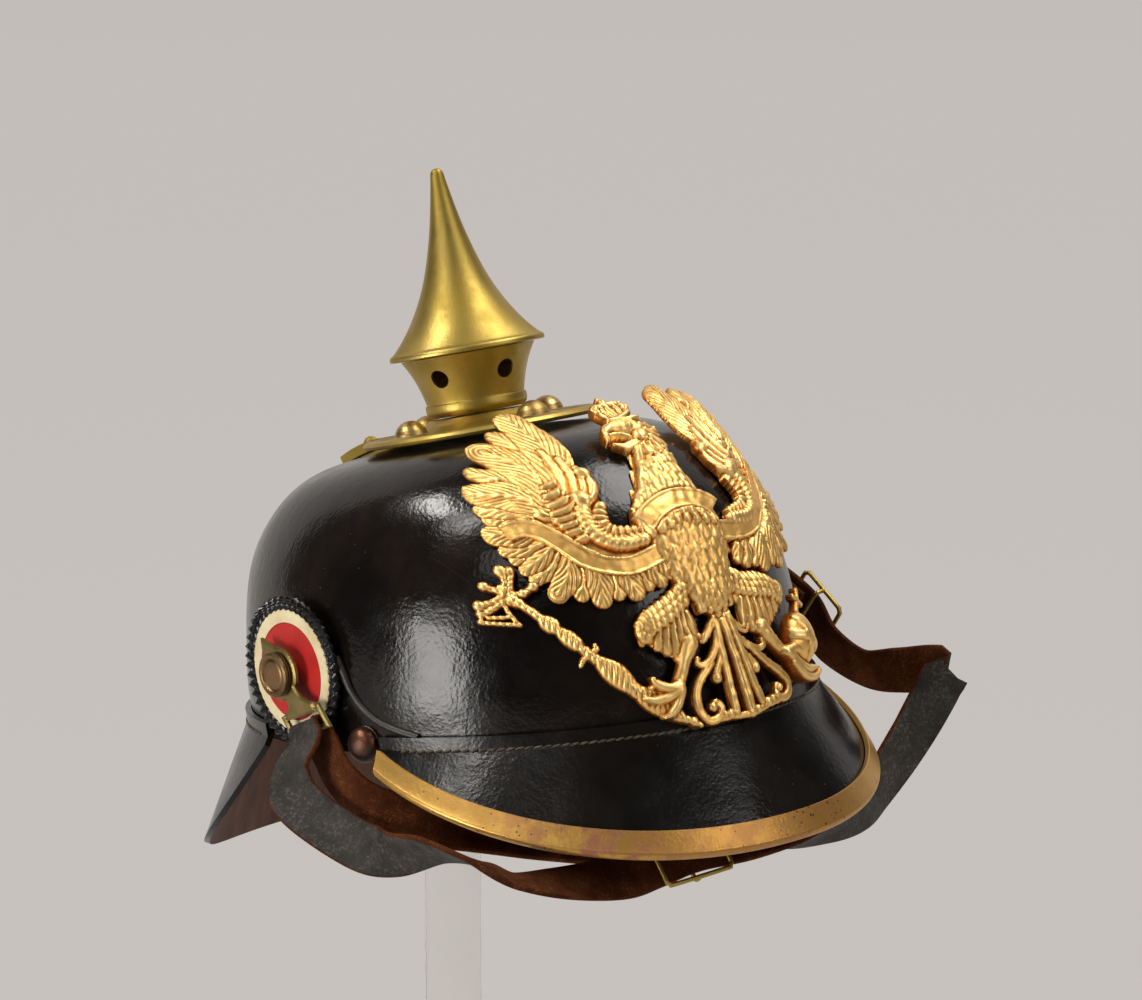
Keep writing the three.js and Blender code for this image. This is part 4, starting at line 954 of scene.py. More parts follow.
# A banner's band with raised edges
def ribbon(sheet, points, half, low, crown):
    window, d, u, w, run = nearLine(sheet, smoothLine([(s, t, half) for s, t in points]))
    v = np.abs(d) / w
    rise = low + crown * np.sin(math.pi * u) + 0.5 * smoothstep(0.7, 0.82, v) - 0.9 * smoothstep(0.9, 1.02, v)
    lay(sheet, window, np.where((u <= 0) | (u >= 1), 9, np.abs(d) - w), rise)


# A bead at a place: radius, rise of its edge and height
def ball(sheet, s, t, radius, low, tall):
    window = windowOf(sheet, (s - radius - 1, t - radius - 1), (s + radius + 1, t + radius + 1))
    d = np.hypot(sheet["s"][window] - s, sheet["t"][window] - t)
    rise = low + tall * np.sqrt(np.clip(1 - (d / radius) ** 2 * 0.97, 0, 1))
    lay(sheet, window, d - radius, rise, True)


# A filled outline, domed from its edge inwards
def field(sheet, outline, low, crown, soft, top=False):
    outline = np.asarray(outline, float)
    window = windowOf(sheet, outline.min(0) - 1.5, outline.max(0) + 1.5)
    p = np.stack((sheet["s"][window], sheet["t"][window]), -1)[..., None, :]
    a = outline
    b = np.roll(outline, -1, 0)
    way = b - a
    off = p - a
    k = np.clip((off * way).sum(-1) / (way * way).sum(-1), 0, 1)
    d = np.sqrt(((off - way * k[..., None]) ** 2).sum(-1)).min(-1)
    crosses = ((a[:, 1] > p[..., 1]) != (b[:, 1] > p[..., 1])) & (
        p[..., 0] < way[:, 0] * (p[..., 1] - a[:, 1]) / np.where(way[:, 1] == 0, 1e-9, way[:, 1]) + a[:, 0])
    inside = crosses.sum(-1) % 2 == 1
    edge = np.where(inside, -d, d)
    rise = low + crown * (1 - np.exp(-np.maximum(-edge, 0) / soft))
    lay(sheet, window, edge, rise, top)


# Feathers as root, tip, half width and side bend; lines as place and half width
wing = {
    "axis": (-0.5, 60, 0.4),
    "sheet": ((-31.6, 116), (-37, 114), (-42, 111), (-45, 110), (-48, 108), (-53, 101), (-54.6, 97),
              (-58.4, 93.6), (-61.4, 88), (-63, 85), (-62.4, 78), (-62.6, 72), (-58.6, 63), (-50, 53.4),
              (-34, 50.4), (-17, 51), (-17, 66), (-29, 69.2), (-29.8, 75), (-26.6, 83), (-25.2, 91),
              (-29, 98.5)),
    "primaries": ((-50, 66, -64.6, 65.4, 3.6, 0.03), (-52, 69, -66.4, 69.4, 3.6, 0.03),
                  (-52, 76, -68.4, 76.4, 6.2, 0.02), (-52, 80.5, -65, 83.2, 3.2, -0.04),
                  (-51, 82, -65.4, 87.6, 3.8, -0.05), (-44, 84, -57.6, 105.4, 4.2, -0.1),
                  (-45, 82, -63.6, 97, 7.2, -0.1), (-39, 88, -40.6, 120, 4.4, -0.1),
                  (-42, 86, -49, 116, 7.2, -0.12), (-37, 87, -31.8, 127.4, 6.6, -0.08)),
    "secondaries": ((-36, 57, -34.4, 45, 3.1, 0.03), (-43.5, 60, -47, 47, 3.4, 0.06),
                    (-26, 55, -23.2, 46.2, 3, -0.03), (-48, 65, -60.6, 56, 3.4, 0.06),
                    (-50, 67, -62.6, 60.4, 3, 0.05), (-46, 62, -55.4, 48.5, 4.5, 0.07),
                    (-40, 58, -40.6, 43.6, 4.5, 0.05), (-31, 56, -28.2, 43.9, 4.3, 0),
                    (-21, 55, -18.4, 46.6, 3.6, -0.04), (-17, 55, -14.6, 48.6, 2.8, -0.04)),
    "strips": ((-36.5, 86, -33, 106.6, 1.8, -0.07), (-34, 84, -30, 102, 1.8, -0.08),
               (-32, 83, -27, 97, 1.8, -0.09), (-30, 82, -25.4, 92.4, 1.7, -0.1)),
    "bars": ((-35, 92.5, -42.2, 90, 1.6, 0.1), (-35.6, 88.6, -43.6, 86, 1.6, 0.1),
             (-36, 85, -44.4, 82.4, 1.6, 0.1), (-36, 81.4, -45, 79.4, 1.5, 0.1),
             (-36.2, 78, -45, 76.6, 1.5, 0.08), (-36.3, 75, -44.6, 73.8, 1.5, 0.06),
             (-36.3, 72, -43.8, 70.8, 1.5, 0.04), (-36, 69, -42, 67.4, 1.4, 0.02)),
    "arm": ((-33.4, 81, 2), (-35.2, 77, 2.4), (-35.6, 72.6, 2.5), (-34.6, 68.4, 2.5), (-31.6, 65.2, 2.4),
            (-27, 63.6, 2.3), (-20, 63.8, 2.2)),
    "inner": ((-28.4, 79, 1.6), (-30.6, 75, 2.4), (-31, 71.6, 2.6), (-28.6, 68.6, 2.2), (-20, 67, 1.6)),
    "balls": ((-33, 82.6, 3.3, 2.2, 2.4), (-27, 93, 2.9, 1.4, 2.2), (-47.4, 81.3, 1.9, 1.8, 1.2)),
}


def wings(sheet, turn):
    def plumes(rows, low, high, barb, crown):
        for s, t, tipS, tipT, half, bend in rows:
            feather(sheet, turn(s, t), turn(tipS, tipT), half, low, high, bend * turn.side, barb, crown)

    plumes(wing["primaries"], 1.5, 0.9, 0.34, 1.0)
    field(sheet, [turn(s, t) for s, t in wing["sheet"]], 0.5, 0.5, 3.0, True)
    plumes(wing["secondaries"], 1.6, 0.9, 0.3, 1.0)
    plumes(wing["bars"], 2.3, 1.7, 0.08, 1.0)
    plumes(wing["strips"], 2.4, 1.4, 0.1, 1.2)
    line = smoothLine([(*turn(s, t), w) for s, t, w in wing["inner"]])
    window, d, u, w, run = nearLine(sheet, line)
    rise = 2.1 + 0.9 * np.sqrt(np.clip(1 - (d / w) ** 2, 0, 1)) + 0.42 * np.sin(2 * math.pi * run / 2.3)
    lay(sheet, window, np.abs(d) - w, rise)
    line = smoothLine([(*turn(s, t), w) for s, t, w in wing["arm"]])
    window, d, u, w, run = nearLine(sheet, line)
    v = np.clip(np.abs(d) / w, 0, 1)
    rise = 2.5 + 1.3 * np.sqrt(1 - v * v * 0.97) + 0.3 * np.sin(2 * math.pi * run / 2.1) * (v > 0.35)
    lay(sheet, window, np.abs(d) - w, rise)
    for s, t, *form in wing["balls"]:
        ball(sheet, *turn(s, t), *form)


def rightSide(s, t):
    return np.array((s, t), float)


# The left wing mirrors the right one, a little lower at its tips
def leftSide(s, t):
    middle, level, angle = wing["axis"]
    n = np.array((math.cos(math.radians(angle)), math.sin(math.radians(angle))))
    p = np.array((s, t - 0.1 * max(t - 100, 0)), float)
    return p - 2 * (p - (middle, level)).dot(n) * n


rightSide.side = 1
leftSide.side = -1

tail = {
    "strands": (
        ((-4.2, 36, 1.5), (-4.6, 24, 1.5), (-4.7, 12, 1.7), (-4.4, 3, 1.9)),
        ((1, 36, 1.4), (3.2, 22, 1.5), (5.4, 11, 1.9), (7.4, 4.4, 1.7)),
        ((-1.6, 36, 1.7), (-0.4, 24, 1.8), (1, 12, 2.2), (2, 2.4, 2.3)),
        ((-4.6, 33.6, 1.2), (-6.6, 31, 1.4), (-9.2, 28.4, 1.3), (-11, 27.2, 1.2), (-11.6, 28.6, 1.1)),
        ((-4.8, 29.6, 1.1), (-6.6, 24.6, 1.3), (-9.6, 20.8, 1.4), (-13, 19.4, 1.3), (-15, 20.4, 1.2),
         (-14.6, 21.8, 1)),
        ((-4.8, 25.6, 1), (-6, 20.6, 1.2), (-8, 17, 1.4), (-9, 14.6, 2)),
        ((-9.6, 19.6, 1), (-12.6, 17.4, 1.5), (-16.2, 14, 1.6), (-18.2, 9.6, 1.7), (-17.8, 4.8, 1.7),
         (-15, 1.6, 1.6), (-11.4, 2.2, 1.5), (-9.9, 4.8, 1.4), (-11.4, 6.8, 1.3), (-13.2, 5.8, 1.3)),
        ((1, 33.6, 1.2), (2.8, 30.6, 1.4), (5.2, 28.4, 1.3), (7.4, 27.4, 1.2), (8.4, 28.6, 1.1)),
        ((1.8, 29.4, 1.1), (4.4, 24.8, 1.3), (8.2, 21.8, 1.4), (12, 20.8, 1.3), (14.2, 21.8, 1.2),
         (13.8, 23.2, 1)),
        ((2.6, 25.8, 1), (4.2, 21, 1.2), (6.4, 17.8, 1.4), (7.8, 15, 2)),
        ((8, 21.2, 1), (11.4, 18, 1.5), (15.8, 14.2, 1.6), (20.2, 10.8, 1.7), (22.6, 7.4, 1.7),
         (21.2, 4.2, 1.6), (17.6, 3.2, 1.5), (15.2, 5, 1.4), (16, 7.4, 1.3), (17.8, 7, 1.2)),
        ((-14.6, 1.4, 1), (-6.6, 1.4, 1.1), (2, 1, 1.2), (10, 2.4, 1.1), (17.4, 3.2, 1)),
    ),
    "balls": ((-6.9, 2.2, 1.8), (-9.2, 2.6, 1.3), (1.8, 1.4, 2), (4.6, 2.2, 1.3), (10, 3.3, 1.7),
              (12.4, 4, 1.3), (14.6, 5, 1.5), (-13, 5.6, 1.6), (17, 6.8, 1.5), (-9, 14.4, 2),
              (7.8, 14.8, 2)),
    "leaves": ((-7.6, 48, -7.8, 35.6), (-4.8, 48, -5.4, 34.4), (2.6, 48, 3, 35.8), (0, 48, 0.6, 34.4),
               (-2.2, 48, -2.4, 33)),
}

thighs = (
    {
        "outline": ((-8, 51), (-13, 47.6), (-20, 44), (-29.1, 40), (-33.1, 36.4), (-33.6, 32.6), (-28, 27),
                    (-21.2, 22.6), (-12.4, 27.3), (-11.3, 33.1), (-13, 37.7), (-11, 41.5), (-6, 44)),
        "tips": ((-33.2, 32.4), (-30.6, 29.2), (-27.8, 26.4), (-24.8, 24.2), (-21.6, 22), (-18, 23.4),
                 (-14.8, 25.4), (-12, 27.4)),
        "roots": ((-27, 38.6), (-14, 37)),
        "top": ((-10, 47.4), (-19.4, 42.6), (-28, 38.8), (-31.6, 35.6)),
    },
    {
        "outline": ((4, 50.4), (12.7, 46.4), (21.3, 45), (27.6, 42.8), (31.6, 39.8), (33.3, 36.6),
                    (27.4, 31), (21.3, 26.6), (19.6, 24.5), (15, 23.9), (10.4, 26.6), (7, 28.2),
                    (7.4, 34.8), (5.6, 39.6), (2, 44)),
        "tips": ((33, 36), (29.6, 33), (26.6, 30), (23.4, 27.4), (20, 24.4), (15.6, 23.8), (11.6, 25.8),
                 (7.6, 27.8)),
        "roots": ((27, 41), (9, 37.6)),
        "top": ((6, 47.4), (13.6, 44.6), (22, 43), (30, 38.8)),
    },
)

claws = {
    "rightLeg": ((-16, 27, 3), (-18.8, 23.4, 2.4), (-21, 19.4, 2.1), (-24.4, 13.6, 2.3)),
    "rightToes": (
        ((-24, 14, 1.9), (-28, 14.4, 1.7), (-31.4, 16.6, 1.4), (-32.6, 18.4, 0.7)),
        ((-24.4, 13, 1.9), (-29, 11.6, 1.7), (-33.4, 11.4, 1.3), (-35.6, 12.6, 0.7)),
        ((-24, 13, 1.8), (-25.6, 9.4, 1.6), (-28.6, 6.4, 1.3), (-31, 5.6, 0.7)),
    ),
    "leftLeg": ((15.4, 27, 3), (18, 23, 2.6), (22, 18.4, 2.4), (26, 14.4, 2.2)),
    "leftToes": (
        ((24, 16, 2.2), (28, 12.4, 2), (33, 9.8, 1.7), (38.6, 9.6, 0.9)),
        ((23, 17, 2), (27, 17.4, 1.8), (31, 15.6, 1)),
        ((25, 13.6, 2), (29, 8.6, 1.8), (36, 6.8, 1.5), (42, 8.4, 1)),
    ),
}

orb = {
    "ball": (34.6, 20, 9, 1, 6.2),
    "hoops": (
        ((25.8, 23, 1.1), (32, 20.6, 1.1), (38, 16.4, 1.1), (42, 14.4, 1.1)),
        ((31, 28, 0.8), (33.4, 22, 0.8), (33.6, 12, 0.8)),
    ),
    "cross": (
        ((37, 27.4, 1.5), (41.4, 32.4, 1.2), (43.4, 35, 1.4)),
        ((38.6, 33.6, 1.2), (44.6, 30.4, 1.2)),
    ),
}

trunk = {
    "breast": ((-2.6, 45, 9), (-3.4, 53, 13), (-3.6, 61, 15), (-4.4, 69, 13), (-4, 74, 12)),
    "neck": ((-5, 71, 15), (-2.4, 79, 11.4), (-1, 86.5, 8.4), (0.8, 93, 7), (2, 99, 6.2), (2.6, 104, 5.2)),
}

head = {
    "ground": ((-3, 99.6), (-8, 101), (-10.4, 103.4), (-7, 107), (2, 108), (5, 102)),
    "mouth": ((-3, 103.4, 0.6), (-7, 105.6, 0.6), (-10.4, 105.6, 0.5)),
    "brow": ((-6, 111.5, 0.8), (-2.6, 111.3, 1), (1.6, 110.8, 1), (5, 110.6, 0.8)),
    "balls": ((1.2, 103.2, 2.6, 3.4, 1.8), (-0.2, 96, 2.4, 3.0, 1.6), (-1.2, 107.6, 1.2, 4.4, 1.2),
              (-7, 109.4, 0.6, 4.0, 0.9)),
    "skull": ((6.2, 104.6, 3.8), (3.6, 107.4, 4.6), (0.4, 108.6, 4.2), (-3.2, 109, 3.2)),
    "beak": ((-3.4, 109, 3.1), (-6.8, 109.2, 2.6), (-9.4, 108, 1.9), (-10.9, 105.8, 1.2),
             (-11.3, 103.4, 0.5)),
    "jaw": ((0, 101.6, 2.2), (-3.6, 100.8, 2), (-6.8, 100.4, 1.7), (-9.8, 102, 0.8)),
    "tufts": ((2.6, 110.4, 7.4, 110), (3.6, 108, 8.8, 106), (4, 105, 9.2, 101.6), (4, 102, 9, 97),
              (3, 100, 6.4, 93.4), (1.2, 99, 2.6, 92), (-1.2, 99, -1.4, 92.6), (-3.4, 98.4, -5, 92.6)),
}

crown = {
    "field": ((-4.8, 112.6), (4.4, 115), (6, 116.6), (6.8, 118.8), (4.6, 120.8), (2.4, 121.6),
              (-0.8, 121.8), (-4, 121.2), (-6.2, 119.4), (-6, 116.4)),
    "bows": (
        ((-4.4, 113.6, 1), (-6, 117, 1.5), (-5.4, 120, 1.5), (-1.6, 121, 1.1)),
        ((4, 115.4, 1), (6.2, 117.6, 1.4), (5, 120.2, 1.5), (1, 121.2, 1.1)),
        ((-0.6, 114, 1.1), (-0.8, 117.4, 1.3), (-0.6, 121.4, 1.2)),
        ((-2.6, 113.6, 0.7), (-3.4, 117, 0.8), (-2.8, 120.4, 0.8)),
        ((1.8, 114.6, 0.7), (2.9, 117.6, 0.8), (2.2, 120.6, 0.8)),
    ),
    "balls": ((-6, 117.4, 1.3), (-5.2, 119.8, 1.2), (6.2, 118, 1.3), (4.8, 120.2, 1.2), (-0.7, 122, 1.4)),
    "band": ((-5.2, 112.4, 1.2), (-0.2, 112.9, 1.3), (4.8, 115, 1.1)),
    "cross": (((-0.7, 121.6, 1.2), (-0.2, 125.6, 0.7)), ((-1.9, 123.6, 0.7), (1.3, 124, 0.7))),
}

sceptre = {
    "rods": (
        ((-68.4, 52.4, 1.6), (-66, 49.5, 1.5), (-63.2, 46.3, 1.5), (-60.6, 43, 1.5)),
        ((-61.6, 44.4, 1.6), (-60.4, 42.8, 2.7), (-58.6, 40.8, 2.9), (-57.2, 39.2, 1.7)),
        ((-57.4, 39.4, 1.7), (-55.2, 36.4, 2.7), (-53, 33.6, 2.6), (-51.6, 31.8, 1.6)),
        ((-52, 32.2, 1.6), (-49.4, 29, 2), (-47, 26.4, 1.8)),
        ((-48, 27.6, 1.8), (-45, 24, 3.4), (-42.4, 21, 3.9), (-40, 17.8, 3.1), (-38.6, 16, 2)),
        ((-39.2, 16.8, 2.6), (-37.8, 15.2, 2.6)),
        ((-37.8, 15.4, 2.2), (-34.6, 12.4, 3.6), (-31, 9.6, 3.9), (-27.6, 6.6, 3), (-24.6, 4, 1.7)),
        ((-25, 4.2, 1.5), (-21.4, 2.4, 1.3), (-19.2, 0.9, 0.9)),
        ((-50, 29.6, 1), (-47.4, 30.8, 1.1), (-47.4, 32.4, 0.7)),
        ((-50.6, 29, 1), (-52.4, 28, 1.1), (-53.4, 26.4, 0.7)),
    ),
    "head": (
        ((-69.8, 55.4, 2.6), (-69, 52.6, 2.9), (-67.4, 50.4, 1.8)),
        ((-70, 54.6, 1.4), (-73, 56.4, 1.3), (-75.6, 57.8, 1.6)),
        ((-69.6, 55.4, 1.2), (-68.4, 58.8, 1.2), (-68.4, 62, 2)),
        ((-67.8, 55, 1.2), (-66.6, 58.6, 1), (-65.8, 61.8, 1.6)),
        ((-71, 53.2, 1.3), (-75, 52, 1.2), (-79, 51.4, 1.9)),
        ((-70.6, 52, 1.2), (-75, 49.8, 1.1), (-79.4, 48.8, 1.7)),
        ((-67.6, 53.6, 1.2), (-64.4, 53.2, 1.3), (-60.6, 55, 1.2)),
        ((-71.4, 51.6, 0.9), (-70.6, 47.6, 0.9), (-68.6, 43.2, 0.9)),
        ((-80.4, 46.2, 1), (-76, 45, 0.8), (-68.4, 43.2, 0.8)),
        ((-79.2, 49, 0.8), (-80.2, 46.2, 0.9)),
        ((-77.6, 47.2, 0.7), (-72.4, 46.4, 0.7), (-70.4, 46.8, 0.7)),
    ),
    "balls": ((-64.2, 53.2, 1.6), (-60.4, 55, 1.8), (-75.4, 58, 1.9), (-68.6, 62.2, 2.1), (-79, 51.4, 2),
              (-21.2, 2.4, 1.8), (-62.6, 45.6, 1.7), (-66.4, 50.2, 1.8), (-33, 15.4, 1.2),
              (-30.4, 13.8, 1.2)),
}

banners = (
    ((-61.6, 75.4), (-57.5, 76), (-53.6, 75.4), (-50.2, 72.6), (-46.8, 68.1), (-43.4, 63.1), (-39, 59),
     (-33.6, 56.5), (-26.8, 55.6), (-17, 58)),
    ((10, 61.4), (19, 59.9), (26.6, 61.2), (32.4, 64.6), (38, 69.6), (43, 75.4), (46.6, 80.4)),
    ((-18.6, 68.4), (-14, 72), (-8, 74.4), (-1.6, 74.9), (4, 73.6), (8.2, 71.4), (10.2, 69)),
)
bannerForms = ((3.4, 3.0, 0.2), (3.4, 3.0, 0.2), (3.8, 4.2, 0.8))  # half width, rise and crown


# Rows of small scale feathers: middle, level, half width of the row and number
def scaleRows(sheet, line, across, length, half, rise):
    ground = sheet["rise"].copy()
    for k, (s, t, width, count) in enumerate(line):
        for i in range(count):
            share = (i + 0.5 * (k % 2)) / max(count - 1, 1) * 2 - 1
            if abs(share) <= 1.02:
                jig = math.sin(7.3 * i + 3.1 * k)
                place = s + share * width + 0.3 * jig
                root = (place, t + length * 0.55 - abs(share))
                tip = (place + share * across, t - length * (0.45 + 0.06 * jig) - abs(share))
                feather(sheet, root, tip, half * (1 + 0.12 * jig), 0.0, rise, 0.0, 0.16, 0.4, ground, 0.2)


def body(sheet):
    for k, points in enumerate(tail["strands"]):
        tube(sheet, points, 1.0, 1.5 if k > 2 else 1.8, k > 1, 0.35)
    for s, t, r in tail["balls"]:
        ball(sheet, s, t, r, 0.9, 2.0)
    for s, t, tipS, tipT in tail["leaves"]:
        feather(sheet, (s, t), (tipS, tipT), 2.1, 2.2, 1.6, 0.0, 0.08, 1.0)
    for part in thighs:
        field(sheet, part["outline"], 1.0, 2.6, 4.5)
        ground = sheet["rise"].copy()
        roots = np.array(part["roots"])
        for k, tip in enumerate(part["tips"]):
            f = k / (len(part["tips"]) - 1)
            feather(sheet, roots[0] + (roots[1] - roots[0]) * f, tip, 1.9, 0.3, -0.1, 0.0, 0.0, 0.8,
                    ground * 0.6, 0.3)
        line = smoothLine(part["top"])
        for drop in (5.2, 2.7, 0.2):
            for f in np.linspace(0, len(line) - 1, 11):
                s, t = line[int(f)]
                tip = (s + math.copysign(0.7, s), t - drop - 1.6)
                feather(sheet, (s, t - drop + 1.6), tip, 1.5, 0.2, 0.5, 0, 0, 0.5, ground, 0.2)
    tube(sheet, claws["rightLeg"], 1.4, 1.9)
    for points in claws["rightToes"]:
        tube(sheet, points, 3.2, 1.8)
    tube(sheet, claws["leftLeg"], 1.4, 2.2)
    ball(sheet, *orb["ball"])
    ground = sheet["rise"].copy()
    for points in orb["hoops"]:
        window, d, u, w, run = nearLine(sheet, smoothLine(points))
        lay(sheet, window, np.where(ground[window] > 1, np.abs(d) - w, 9), ground[window] + 0.7)
    for points in claws["leftToes"]:
        tube(sheet, points, 3.4, 2)
    for points in orb["cross"]:
        tube(sheet, points, 1.4, 1.6)
    tube(sheet, trunk["breast"], 1.2, 3.4)
    tube(sheet, trunk["neck"], 1.2, 3.6)
    breast = [(-2.6, 41 + 4.6 * k, min(5.6 + k * 2.4, 13.4), 6 if k < 2 else 8) for k in range(7)]
    scaleRows(sheet, breast, 1.2, 10.4, 2.0, 0.5)
    neck = [(-5.2 + 0.75 * k, 70 + 3.9 * k, max(13.8 - 1.6 * k, 5), 10 if k < 4 else 7) for k in range(9)]
    scaleRows(sheet, neck, 2.4, 11, 1.5, 0.5)
    field(sheet, crown["field"], 1.4, 1.0, 2.0)
    for points in crown["bows"]:
        tube(sheet, points, 2.0, 1.5)
    for points in crown["cross"]:
        tube(sheet, points, 1.2, 1.5)
    for s, t, r in crown["balls"]:
        ball(sheet, s, t, r, 2.4, 1.6)
    field(sheet, head["ground"], 0.5, 0.3, 2)
    tube(sheet, head["skull"], 2.0, 2.8)
    tube(sheet, head["jaw"], 1.6, 2.0, True, 0.4)
    tube(sheet, head["beak"], 1.9, 2.7)
    tube(sheet, head["mouth"], 3.2, 1.0)
    for s, t, tipS, tipT in head["tufts"]:
        feather(sheet, (s, t), (tipS, tipT), 1.4, 3.8, 2.6, 0.0, 0.15, 0.7)
    tube(sheet, head["brow"], 4.0, 1.2)
    for row in head["balls"]:
        ball(sheet, *row)
    tube(sheet, crown["band"], 2.4, 1.7)
    for points in sceptre["rods"]:
        tube(sheet, points, 1.3, 1.9, twist=0.3)
    for points in sceptre["head"]:
        tube(sheet, points, 1.0, 1.4, twist=0.25)
    for s, t, r in sceptre["balls"]:
        ball(sheet, s, t, r, 1.4, 1.8)
    for points, form in zip(banners, bannerForms):
        ribbon(sheet, points, *form)


# Sum of the four neighbours a few steps away
def beside(values, steps=1):
    return sum(np.roll(values, k, axis) for k in (-steps, steps) for axis in (0, 1))


# The relief as a closed plate: face, back and side walls, its outline drawn to the true edge
def sheetPiece(name, sheet, spot, low):
    s = sheet["s"].copy()
    t = sheet["t"].copy()
    edge = sheet["edge"]
    rise = sheet["rise"].copy()
    step = s[0, 1] - s[0, 0]
    keep = (edge[:-1, :-1] + edge[1:, :-1] + edge[:-1, 1:] + edge[1:, 1:]) < 0
    pad = np.pad(keep, 1)
    touches = (pad[:-1, :-1].astype(int) + pad[1:, :-1] + pad[:-1, 1:] + pad[1:, 1:])
    rim = (touches > 0) & (touches < 4)
    pullT, pullS = np.gradient(edge, step)
    size = np.maximum(pullS ** 2 + pullT ** 2, 0.4)
    move = np.where(rim, np.clip(edge, -step * 0.7, step * 0.7), 0)
    s -= move * pullS / size
    t -= move * pullT / size
    weight = (edge < 0).astype(float)
    soft = beside(rise * weight)
    count = beside(weight)
    rise = np.where(edge < 0, (rise * 2 + soft) / (2 + count), rise)
    broad = rise * weight
    share = weight.copy()
    for _ in range(10):
        broad = (broad + beside(broad)) / 5
        share = (share + beside(share)) / 5
    level = np.where(edge < 0, rise, broad / np.maximum(share, 0.05))
    near = (level + beside(level, 2)) / 5
    # Lower than its surroundings gives painted shade in the recesses, higher gives a painted highlight on the
    # raised edges
    paintedShadeAndHighlight = np.clip(0.52 + (rise - broad / np.maximum(share, 0.05)) * 0.5 + (rise - near) * 1.6, 0, 1)
    here = spot(s, t)
    out = unit(np.cross(spot(s + 0.4, t) - spot(s - 0.4, t), spot(s, t + 0.4) - spot(s, t - 0.4)))
    used = touches > 0
    number = np.full(s.shape, -1)
    number[used] = np.arange(used.sum())
    top = (here + out * (low + np.maximum(rise, 0.5))[..., None])[used]
    back = (here + out * low[..., None])[used]
    points = np.concatenate((top, back))
    n = len(top)
    i, j = np.nonzero(keep)
    face = np.stack((number[i, j], number[i, j + 1], number[i + 1, j + 1], number[i + 1, j]), -1)
    walls = []
    for di, dj, a, b in ((-1, 0, (0, 0), (0, 1)), (1, 0, (1, 1), (1, 0)), (0, -1, (1, 0), (0, 0)),
                         (0, 1, (0, 1), (1, 1))):
        free = ~pad[i + 1 + di, j + 1 + dj]
        p = number[i[free] + a[0], j[free] + a[1]]
        q = number[i[free] + b[0], j[free] + b[1]]
        walls.append(np.stack((q, p, p + n, q + n), -1))
    faces = np.concatenate((face, face[:, ::-1] + n, *walls))
    obj = meshPiece(name, toWorld(*points.T).tolist(), faces.tolist())
    obj.data.validate()
    # The painted shade and highlight are kept on the points for the gilt's colour
    shown = obj.data.attributes.new("paintedShadeAndHighlight", "FLOAT", "POINT")
    shown.data.foreach_set("value", np.concatenate((paintedShadeAndHighlight[used], paintedShadeAndHighlight[used])))
    smoothShade(obj, 60)
    return obj


# The plate follows the leather, sinks towards both sides, and its left wing's tip stands off
plate = {"span": (-84, 72, -3, 131, 0.36), "ripple": 0.09, "low": -3.4, "sink": 1.8, "lift": 7.4}
wingSheet = newSheet(*plate["span"])
wings(wingSheet, rightSide)
wings(wingSheet, leftSide)
bodySheet = newSheet(*plate["span"])
body(bodySheet)
ripple = np.random.default_rng(7).normal(size=wingSheet["s"].shape)
for _ in range(14):
    ripple = (ripple + beside(ripple)) / 5
ripple *= plate["ripple"] / ripple.std()
plateLow = (plate["low"] - plate["sink"] * smoothstep(28, 60, np.abs(wingSheet["s"] + 1.5))
            + plate["lift"] * smoothstep(22, 46, wingSheet["s"]) * smoothstep(72, 110, wingSheet["t"]))
for sheet, name in ((wingSheet, "bird_wings_gilt"), (bodySheet, "bird_body_gilt")):
    sheet["rise"] += ripple
    piece = sheetPiece(name, sheet, platePoint, plateLow)
    dress(piece, "giltBrass")
    settle(piece, "gilt_brass", "front_plate")
print("bird plate made")

# Side fittings on each hand: cockade, post, lug and the rivet that ends the edging
sideSpot = (8.0, 34.0)
cockade = {
    "inner": 87.5,
    "teeth": 46,
    "crests": ((22, 1.2, 1.3), (23.7, 1.2, 1.5)),  # radius, spread and height of the two rings of teeth
    "profile": ((0, 1.0), (16, 1.1), (16.4, 1.35), (18.6, 1.6), (20.3, 1.45), (20.8, 1.2), (21.2, 1.2),
                (21.7, 1.25), (22.2, 1.3), (22.7, 1.3), (23.1, 1.3), (23.6, 1.2), (24, 1.0), (24.4, 0.7),
                (24.4, 0), (0, 0)),
    "paints": {"right": ("cockadeBlack", "cockadeCream", "cockadeRed"),
               "left": ("cockadeBlack", "cockadeWhite", "cockadeBlack")},
}


def placeCockade(side):
    def place(u, v):
        a = u * 2 * math.pi
        count = len(cockade["profile"])
        k = v * (count - 1)
        r = between(cockade["profile"], k, 0)
        h = between(cockade["profile"], k, 1)
        front = k < count - 2.5
        tooth = 1 - 2 * np.abs(u * cockade["teeth"] % 1 - 0.5)
        other = 1 - 2 * np.abs((u * cockade["teeth"] + 0.5) % 1 - 0.5)
        crests = sum(tall * np.clip(1 - np.abs(r - ring) / spread, 0, 1) * ridge ** 1.3
                     for (ring, spread, tall), ridge in zip(cockade["crests"], (tooth, other)))
        h = h + np.where(front, crests, 0)
        r = r + 0.9 * other * smoothstep(23.2, 24.4, r) - 0.45 * tooth * np.exp(-((r - 20.9) / 0.5) ** 2)
        return toWorld(side * (cockade["inner"] + h), sideSpot[0] + r * np.cos(a),
                       sideSpot[1] + r * np.sin(a))
    return place


